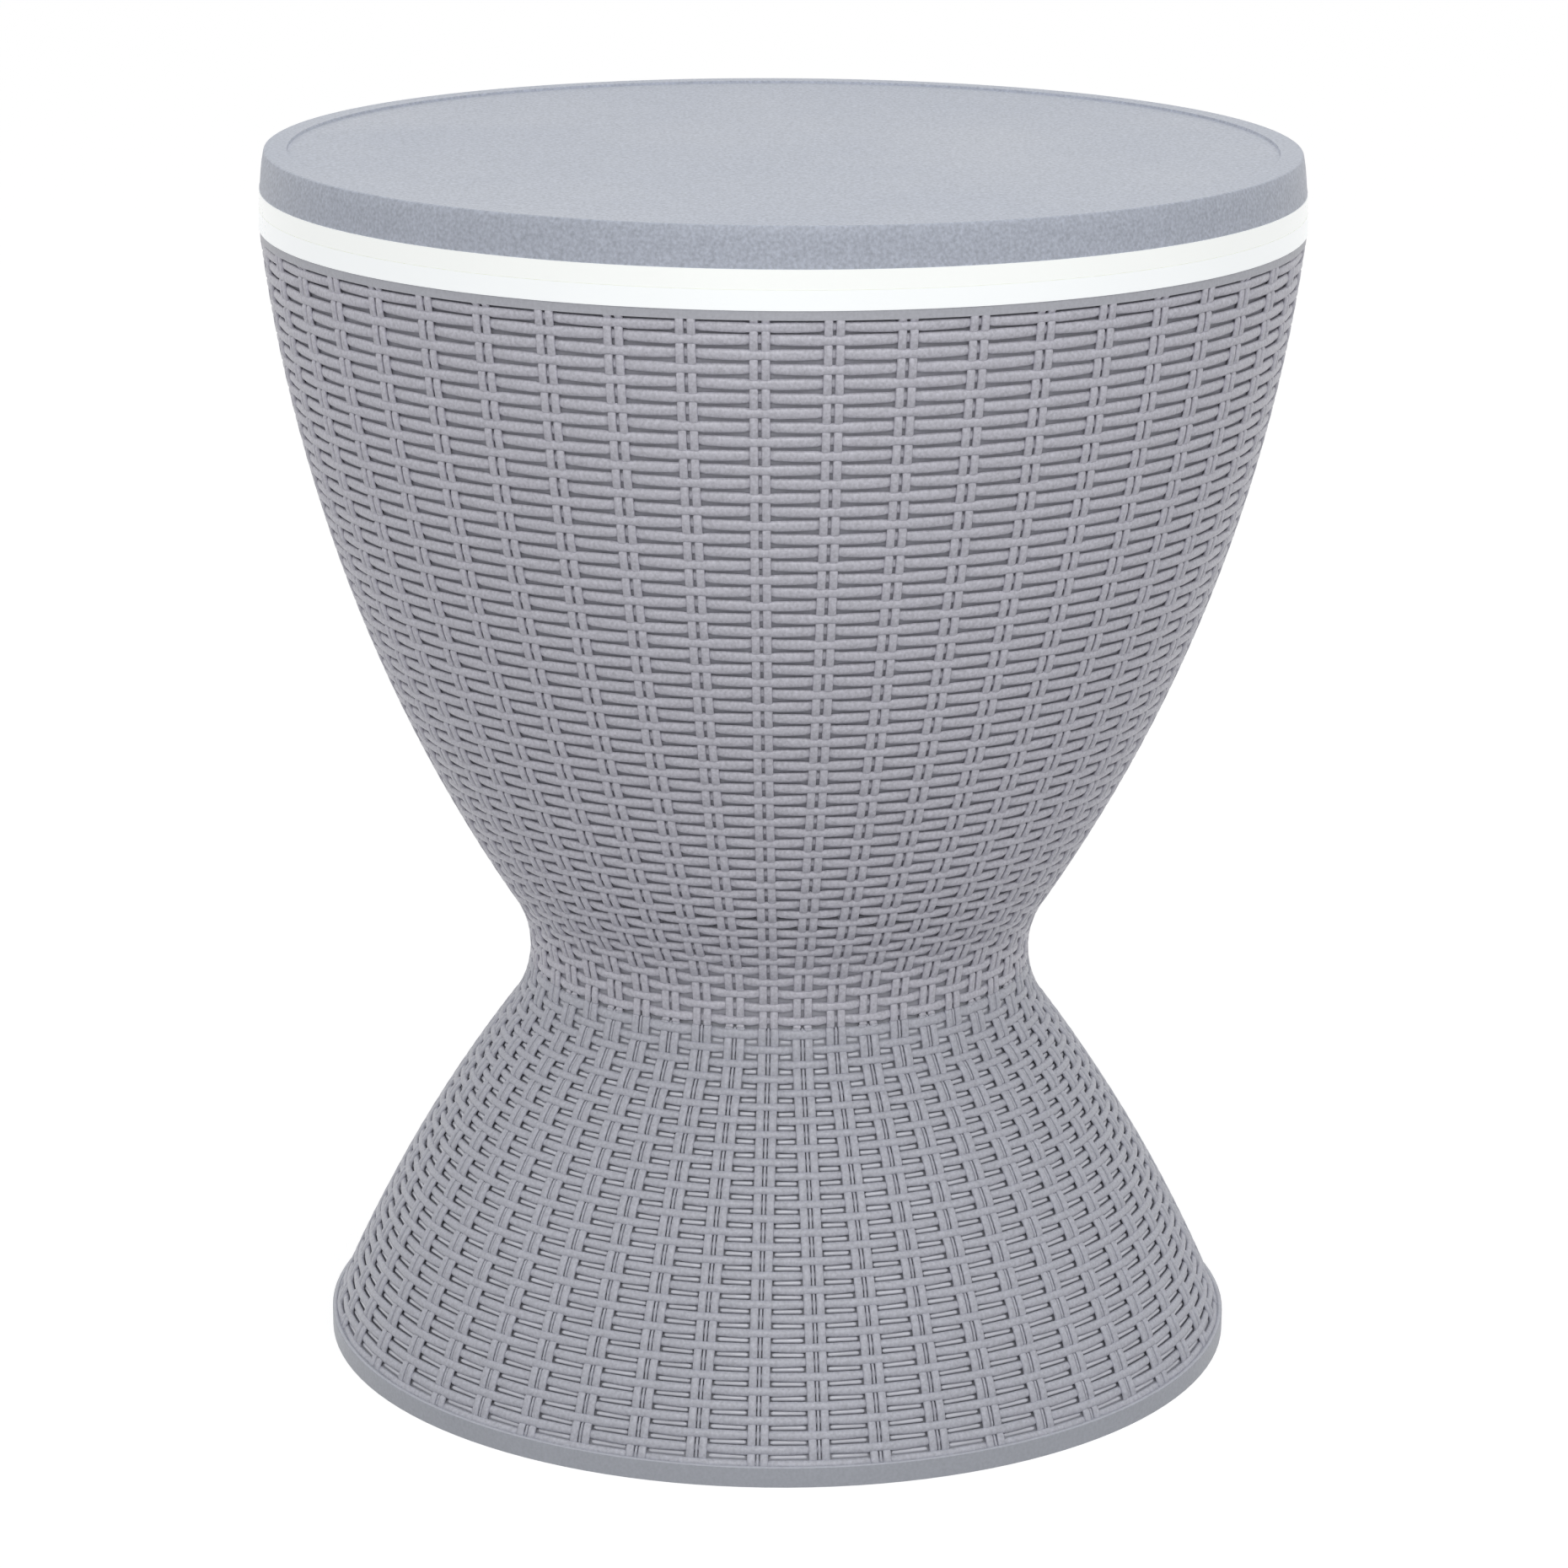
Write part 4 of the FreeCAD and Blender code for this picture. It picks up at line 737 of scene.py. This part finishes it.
# The white band's coat and glow: on the diffuser ring the glow is the lamps' light, on the
# bucket's lip it is painted glow.
BAND_LAMP_AND_PAINTED_GLOW = {"Coat Weight": 0.3, "Emission Color": (0.97, 0.99, 1.0, 1.0),
               "Emission Strength": 0.245}
bucket = merged_copy("ice_bucket", "bucket", BUCKET_SMOOTH_UP_TO)
bucket_white = grained("bucket_white", (240, 242, 238), 0.28, mottle=0.03, depth=0.00001,
                       **{"Coat Weight": 0.25})
# The lip gets a painted glow as bright as the lit ring, though no lamp is in it.
lip_white_painted_glow = grained("lip_white_painted_glow", (248, 250, 246), 0.3, mottle=0.02, depth=0.00001, **BAND_LAMP_AND_PAINTED_GLOW)
bucket.data.materials.append(bucket_white)
bucket.data.materials.append(lip_white_painted_glow)
bucket_centres = read(bucket.data.polygons, "center", 3)
on_lip = np.hypot(bucket_centres[:, 0], bucket_centres[:, 1]) > LIP_RADIUS
bucket.data.polygons.foreach_set("material_index", on_lip.astype(np.int32))
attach(bucket, "stand")
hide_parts("ice_bucket")


def dress(name, material):
    """A node that stays as it is gets its own material."""
    for slot in nodes[name].material_slots:
        slot.material = material


dress("bucket_sleeve", grained("sleeve_white", (236, 238, 234), 0.3, mottle=0.03, depth=0.00001))


# The light is a white diffuser ring between the rim and the bucket's lip, lit by a strip of
# lamps wound round the bucket's shoulder. A thin line of clear adhesive seals it to the lip.
SEAM_INSET = 0.0006
SEAM_DROP = 0.00003
SEAM_HALF = (0.00025, 0.0002)
LAMPS = 108
LAMP_HALF = np.array([0.00035, 0.0011, 0.0014])
light_white = grained("light_white", (247, 250, 250), 0.3, mottle=0.02, depth=0.00001,
                      **BAND_LAMP_AND_PAINTED_GLOW)
dress("light_ring", light_white)
dress("led_strip", grained("strip_white", (228, 228, 222), 0.4, mottle=0.06))
ring_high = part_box("light_ring")[1]
adhesive = grained("adhesive", (236, 240, 218), 0.25, mottle=0.2)
seam = turned("band_seam", oval(ring_high[0] - SEAM_INSET, ring_high[2] - SEAM_DROP, *SEAM_HALF))
finished(seam, adhesive, "stand")


def lamps(name, radius, height):
    """Small lamp blocks round the strip, spaced evenly."""
    turn = np.arange(LAMPS)[:, None] * 2 * math.pi / LAMPS
    signs = np.array([[a, b, c] for a in (-1, 1) for b in (-1, 1) for c in (-1, 1)])
    out, aside, up = (signs * LAMP_HALF).T
    piece = blocks(name, points_of((radius + out) * np.sin(turn) + aside * np.cos(turn),
                                   aside * np.sin(turn) - (radius + out) * np.cos(turn),
                                   height + up))
    piece.data.shade_flat()
    return piece


strip_low, strip_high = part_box("led_strip")
strip_middle = 0.5 * (strip_low[2] + strip_high[2])
lamp_ring = lamps("strip_lamps", strip_high[0] + LAMP_HALF[0], strip_middle)
lamp_yellow = grained("lamp_yellow", (236, 214, 120), 0.25, scale=3000.0,
                      **{"Emission Color": (1.0, 0.95, 0.85, 1.0), "Emission Strength": 0.5})
finished(lamp_ring, lamp_yellow, "stand")


# The column is a guide tube on the bowl's floor with a keyed bush in its mouth. The lift tube
# slides in it on a plastic foot, and a collar turned by hand clamps it.
DRAWN_SCALE = 2600.0
DRAWN_DETAIL = 2.0
DRAWN_STRETCH = (1.0, 1.0, 0.02)
DRAWN_SHADE = 0.24
DRAWN_GLOSS = 0.2


def brushed_metal(name, colour, roughness):
    """Drawn metal tube: fine lines along its length from noise stretched upwards."""
    material, tree, shader = new_material(name)
    stretch = tree.nodes.new("ShaderNodeMapping")
    feed(tree, stretch.inputs["Vector"], own_place(tree))
    feed(tree, stretch.inputs["Scale"], DRAWN_STRETCH)
    lines = noise_node(tree, stretch.outputs["Vector"], DRAWN_SCALE, DRAWN_DETAIL)
    tint = shaded(tree, linear(*colour)[:3], around_one(tree, lines, DRAWN_SHADE))
    rough = sum_node(tree, "MULTIPLY_ADD", lines, DRAWN_GLOSS, roughness - 0.5 * DRAWN_GLOSS)
    feed(tree, shader.inputs["Metallic"], 1.0)
    feed(tree, shader.inputs["Base Color"], tint)
    feed(tree, shader.inputs["Roughness"], rough)
    return material


bush_grey = grained("bush_grey", (118, 119, 125), 0.45)
dress("guide_tube", brushed_metal("guide_metal", (188, 190, 195), 0.42))
dress("lift_tube", brushed_metal("tube_metal", (202, 204, 208), 0.32))
dress("top_bush", bush_grey)
dress("tube_foot", bush_grey)
dress("lock_collar", grained("collar_grey", (132, 134, 141), 0.4, scale=900.0, depth=0.00006))


# The table top is a shallow cap with a narrow flat rim, a slightly sunk panel and a skirt that
# bows in towards a crisp upper edge. A white pan under it plugs the bucket's mouth on a soft
# seal and sockets the lift tube.
SKIRT_CUTS = (0.4880, 0.4910, 0.4940)
SKIRT_HEIGHTS = (0.4830, 0.4842, 0.4850, *SKIRT_CUTS, 0.4966, 0.4980)
SKIRT_NEW_HEIGHTS = (0.4830, 0.4840, 0.4848, *SKIRT_CUTS, 0.4977, 0.4983)
SKIRT_NEW_RADII = (0.2093, 0.2093, 0.20905, 0.2088, 0.2085, 0.20815, 0.2075, 0.20725)
SKIRT_LEAST_RADIUS = 0.2065
RIM_RADII = (0.1937, 0.2057)
RIM_NEW_RADII = (0.1982, 0.2067)
PANEL_HEIGHT = 0.4974
PANEL_NEW_HEIGHT = 0.4977
PANEL_GROWTH = 0.1979 / 0.1931
LEVEL_WITHIN = 0.0001
CAP_SMOOTH_UP_TO = 25.0


def shaped_cap(name):
    """The table top's own mesh, with its skirt cut into bands and bowed and its rim narrowed.

    A point of the skirt gets its new radius and height by its height, one of the rim's top its
    new radius by its radius, and one of the panel goes out by a factor and up to a new height.
    """
    piece = merged_copy("lid_top", name)
    bands = bmesh.new()
    bands.from_mesh(piece.data)
    for cut in SKIRT_CUTS:
        bmesh.ops.bisect_plane(bands, geom=[*bands.verts, *bands.edges, *bands.faces], dist=1e-7,
                               plane_co=(0.0, 0.0, cut), plane_no=(0.0, 0.0, 1.0))
    bands.to_mesh(piece.data)
    bands.free()
    points = read(piece.data.vertices, "co", 3)
    radius = np.hypot(points[:, 0], points[:, 1])
    height = points[:, 2]
    rim = height > cad_high[2] - LEVEL_WITHIN
    skirt = (radius > SKIRT_LEAST_RADIUS) & ~rim
    panel = (np.abs(height - PANEL_HEIGHT) < LEVEL_WITHIN) & ~skirt
    new_radius = np.select([panel, rim, skirt], [
        radius * PANEL_GROWTH,
        np.interp(radius, RIM_RADII, RIM_NEW_RADII),
        np.interp(height, SKIRT_HEIGHTS, SKIRT_NEW_RADII),
    ], radius)
    new_height = np.select([panel, skirt], [
        PANEL_NEW_HEIGHT,
        np.interp(height, SKIRT_HEIGHTS, SKIRT_NEW_HEIGHTS),
    ], height)
    reach_out(piece.data, points, new_radius, new_height)
    piece.data.set_sharp_from_angle(angle=math.radians(CAP_SMOOTH_UP_TO))
    return piece


lid_grey = grained("lid_grey", (182, 187, 199), 0.38, scale=750.0, mottle=0.8,
                   **{"Specular IOR Level": 0.22})
table_cap = shaped_cap("table_cap")
finished(table_cap, lid_grey, "table_top")
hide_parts("lid_top")
dress("lid_liner", grained("liner_white", (232, 234, 231), 0.35, mottle=0.04, depth=0.00001))
dress("lid_gasket", grained("seal_rubber", (52, 52, 54), 0.6, mottle=0.2))


# The battery box under the bowl's floor is moulded in darker grey, with a cell bay under a
# slide-off cover and a control bay whose cover is held by four screws. Two ears hold the box.
SCREW_INSET = 0.0045
COVER_SCREW = (0.0022, 0.0011)
EAR_THICK = 0.0022
EAR_SCREW = (0.0030, 0.0014)
dress("battery_box", grained("box_grey", (104, 106, 112), 0.5))
dress("control_cover", grained("control_grey", (110, 112, 118), 0.45))
dress("battery_cover", grained("cover_grey", (110, 112, 118), 0.45))
cover_low, cover_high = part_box("control_cover")
cover_places = [
    (x, y, cover_low[2])
    for x in (cover_low[0] + SCREW_INSET, cover_high[0] - SCREW_INSET)
    for y in (cover_low[1] + SCREW_INSET, cover_high[1] - SCREW_INSET)
]
cover_screws = screws("cover_screws", cover_places, *COVER_SCREW)
finished(cover_screws, screw_steel, "stand")
box_low, box_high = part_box("battery_box")
ear_places = [(x, 0.0, box_high[2] - EAR_THICK)
              for x in (box_low[0] + SCREW_INSET, box_high[0] - SCREW_INSET)]
finished(screws("box_screws", ear_places, *EAR_SCREW), screw_steel, "stand")


# The battery cover has a row of thumb ridges to push it by, moulded in one with it. They lie
# across it, near the end that the thumb pushes.
RIDGES = 7
RIDGE_FIRST = 0.012
RIDGE_STEP = 0.0022
RIDGE_HALF_WIDTH = 0.0007
RIDGE_HALF_LENGTH = 0.0100
RIDGE_HEIGHT = 0.0006
RIDGE_RINGS = 9
thumb_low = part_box("battery_cover")[0]


def thumb_ridges(name):
    """Straight half-round ridges side by side: ovals carried across the cover.

    Towards its ends an oval shrinks by the root of one less the eighth power of the way there.
    """
    sweep = np.linspace(0, 2 * math.pi, OVAL_CORNERS, endpoint=False)
    ends = np.linspace(-1, 1, RIDGE_RINGS)[:, None]
    taper = np.sqrt(np.clip(1 - np.abs(ends) ** 8, 0.04, 1))
    middle = thumb_low[0] + RIDGE_FIRST + RIDGE_STEP * np.arange(RIDGES)[:, None, None]
    points = points_of(middle + RIDGE_HALF_WIDTH * taper * np.cos(sweep),
                       RIDGE_HALF_LENGTH * ends,
                       thumb_low[2] - RIDGE_HEIGHT * taper * np.sin(sweep))
    return tubes(name, points, False)


ridge_grey = grained("ridge_grey", (112, 114, 120), 0.4)
finished(thumb_ridges("cover_ridges"), ridge_grey, "cover")


# The cells are bought in. A printed film wraps each steel can and leaves its ends bare, and a
# small steel nub stands on one end, turned the other way on each next cell. A flat spring of
# wire meets the other end.
CELLS = 4
BARE_END = 0.0012
BAND_START = 0.72
FILM_GREY = (62, 66, 72)
FILM_BAND = (176, 152, 96)
CAN_STEEL = (190, 190, 188)
SCRATCH_SCALE = 900.0
NUB_RADII = np.array([0.0027, 0.0027, 0.0024])
NUB_STEPS = np.array([-0.0002, 0.0003, 0.0005])
NUB_CORNERS = 20
SPRING_TURNS = 3
SPRING_RINGS = 73
SPRING_START = 0.0018
SPRING_STEP = 0.0008
SPRING_INSET = 0.00035
WIRE_HALF = 0.00022
WIRE_CORNERS = 6


def mixed(tree, amount, without, full):
    """A colour mixed from two by an amount. Each is a plain value or a socket."""
    mix = tree.nodes.new("ShaderNodeMix")
    mix.data_type = "RGBA"
    feed(tree, mix.inputs["Factor"], amount)
    feed(tree, mix.inputs["A"], without)
    feed(tree, mix.inputs["B"], full)
    return mix.outputs["Result"]


def wrapped_cell(name, low, high):
    """Film between two places along the cell, with a brass-coloured band at its high end."""
    material, tree, shader = new_material(name)
    along = own_axes(tree)[0]
    film = sum_node(tree, "MULTIPLY", sum_node(tree, "GREATER_THAN", along, low),
                    sum_node(tree, "LESS_THAN", along, high))
    band_low = low + BAND_START * (high - low)
    band = sum_node(tree, "MULTIPLY", film, sum_node(tree, "GREATER_THAN", along, band_low))
    wrap = mixed(tree, band, linear(*FILM_GREY), linear(*FILM_BAND))
    scratches = noise_node(tree, own_place(tree), SCRATCH_SCALE, GRAIN_DETAIL)
    rough = sum_node(tree, "MULTIPLY_ADD", scratches, 0.15, 0.2)
    feed(tree, shader.inputs["Base Color"], mixed(tree, film, linear(*CAN_STEEL), wrap))
    feed(tree, shader.inputs["Metallic"], sum_node(tree, "SUBTRACT", 1.0, film))
    feed(tree, shader.inputs["Roughness"], rough)
    return material


def nub(at, way, middle):
    """Three rings that stand out of a cell's end and narrow a little."""
    sweep = np.linspace(0, 2 * math.pi, NUB_CORNERS, endpoint=False)
    radius = NUB_RADII[:, None]
    return points_of((at + way * NUB_STEPS)[:, None], middle.y + radius * np.cos(sweep),
                     middle.z + way * radius * np.sin(sweep))


def spring(at, way, middle):
    """A round wire carried along a flat spiral, which is wider by one step at each turn."""
    turn = np.linspace(0, SPRING_TURNS * 2 * math.pi, SPRING_RINGS)[:, None]
    wire = np.linspace(0, 2 * math.pi, WIRE_CORNERS, endpoint=False)
    reach = SPRING_START + SPRING_STEP * turn / (2 * math.pi) + WIRE_HALF * np.cos(wire)
    return points_of(at - way * SPRING_INSET + WIRE_HALF * np.sin(wire),
                     middle.y + reach * np.cos(turn), middle.z + reach * np.sin(turn))


cell_low, cell_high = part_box("cell_1")
cell_film = wrapped_cell("cell_film", cell_low[0] + BARE_END, cell_high[0] - BARE_END)
contact_metal = grained("contact_metal", (205, 202, 192), 0.28, scale=1500.0, mottle=0.1,
                        Metallic=1.0)
nubs = []
springs = []
for index in range(CELLS):
    cell = f"cell_{index + 1}"
    dress(cell, cell_film)
    low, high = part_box(cell)
    middle = 0.5 * (Vector(low) + Vector(high))
    nub_at, spring_at, way = (high[0], low[0], 1.0) if index % 2 == 0 else (low[0], high[0], -1.0)
    nubs.append(nub(nub_at, way, middle))
    springs.append(spring(spring_at, way, middle))
for name, parts in (("cell_nubs", nubs), ("contact_springs", springs)):
    piece = tubes(name, np.stack(parts), False)
    face_outwards(piece.data)
    finished(piece, contact_metal, "stand")
for name in ("contact_plate_near", "contact_plate_far"):
    dress(name, contact_metal)


# The circuit board carries a switch that the rubber button presses. Green lacquer over fine
# tracks is all that shows of it when the cover is off.
dress("control_board", grained("board_green", (44, 96, 62), 0.3, scale=420.0, mottle=0.6,
                               depth=0.00002, **{"Coat Weight": 0.4}))
dress("power_button", grained("button_rubber", (60, 60, 63), 0.6, scale=1200.0, mottle=0.2,
                              depth=0.00005))


# The drain pipe takes melt water from the bucket's nozzle through the bowl's floor. The rubber
# plug in the bucket's floor has a ring to pull it by.
dress("drain_pipe", grained("pipe_grey", (120, 122, 128), 0.4))
dress("drain_plug", grained("plug_rubber", (66, 66, 69), 0.55, scale=1200.0, mottle=0.2,
                            depth=0.00004))


# The floor is a white sheet that goes on as far as is seen. What the camera sees of it is mostly
# its own even white, with a share of the light on it left to carry the table's shadow.
FLOOR_HALF = 8.0
FLOOR_BOUNCE = (0.5, 0.5, 0.51, 1.0)
FLOOR_SEEN = (0.25, 0.25, 0.25, 1.0)
FLOOR_GLOW = 0.85
WHITE = (1.0, 1.0, 1.0, 1.0)


def seen_directly(tree):
    """One for rays from the camera, from a mirror or through glass, and nought for the rest."""
    rays = tree.nodes.new("ShaderNodeLightPath").outputs
    mirrored = sum_node(tree, "MAXIMUM", rays["Is Camera Ray"], rays["Is Glossy Ray"])
    return sum_node(tree, "MAXIMUM", mirrored, rays["Is Transmission Ray"])


def shader_node(tree, kind, *values):
    """A shader's result, with its first inputs fed in turn."""
    node = tree.nodes.new(kind)
    for socket, value in zip(node.inputs, values):
        feed(tree, socket, value)
    return node.outputs[0]


floor_mesh = bpy.data.meshes.new("floor")
floor_corners = FLOOR_HALF * np.array([[-1, -1, 0], [1, -1, 0], [1, 1, 0], [-1, 1, 0]])
floor_mesh.from_pydata(floor_corners, [], [(0, 1, 2, 3)])
floor = added("floor", floor_mesh)
paper, tree, plain = new_material("paper")
tree.nodes.remove(plain)
bounce = shader_node(tree, "ShaderNodeBsdfDiffuse", FLOOR_BOUNCE)
lit = shader_node(tree, "ShaderNodeBsdfDiffuse", FLOOR_SEEN)
glow = shader_node(tree, "ShaderNodeEmission", WHITE, FLOOR_GLOW)
both = shader_node(tree, "ShaderNodeAddShader", lit, glow)
sheet = shader_node(tree, "ShaderNodeMixShader", seen_directly(tree), bounce, both)
feed(tree, tree.nodes["Material Output"].inputs["Surface"], sheet)
floor_mesh.materials.append(paper)
floor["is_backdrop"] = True


# The studio is an even white room. A wide soft lamp hangs over the table, one stands above the
# camera, one to the right of it and a narrow one to the left.
AIM = Vector((0.0, 0.0, 0.25))
ROOM_LIGHT = 0.59


def soft_lamp(name, turn, rise, distance, width, height, watts, tint=(1.0, 1.0, 1.0)):
    """A flat lamp aimed at the table's waist, from a turn off the front and a rise, in degrees."""
    data = bpy.data.lights.new(name, "AREA")
    data.shape = "RECTANGLE"
    data.size, data.size_y = width, height
    data.energy = watts
    data.color = tint
    turn, rise = math.radians(turn), math.radians(rise)
    away = Vector((math.cos(rise) * math.sin(turn), -math.cos(rise) * math.cos(turn),
                   math.sin(rise)))
    facing = away.to_track_quat("Z", "Y").to_matrix().to_4x4()
    added(name, data).matrix_world = Matrix.Translation(AIM + distance * away) @ facing


soft_lamp("overhead", turn=20.0, rise=80.0, distance=2.0, width=1.6, height=1.6, watts=3.45,
          tint=(0.82, 0.92, 1.0))
soft_lamp("front_fill", turn=-2.0, rise=34.0, distance=2.5, width=1.2, height=0.8, watts=11.8)
soft_lamp("right_key", turn=40.0, rise=40.0, distance=2.3, width=1.0, height=1.2, watts=3.3)
soft_lamp("left_strip", turn=-82.0, rise=30.0, distance=2.0, width=0.5, height=1.6, watts=1.3)
world = bpy.data.worlds.new("studio")
bpy.context.scene.world = world
world.use_nodes = True
tree = world.node_tree
room = tree.nodes["Background"]
strength = sum_node(tree, "MULTIPLY_ADD", seen_directly(tree), 1 - ROOM_LIGHT, ROOM_LIGHT)
feed(tree, room.inputs["Color"], WHITE)
feed(tree, room.inputs["Strength"], strength)
bpy.context.scene.view_settings.view_transform = "Standard"

low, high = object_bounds()
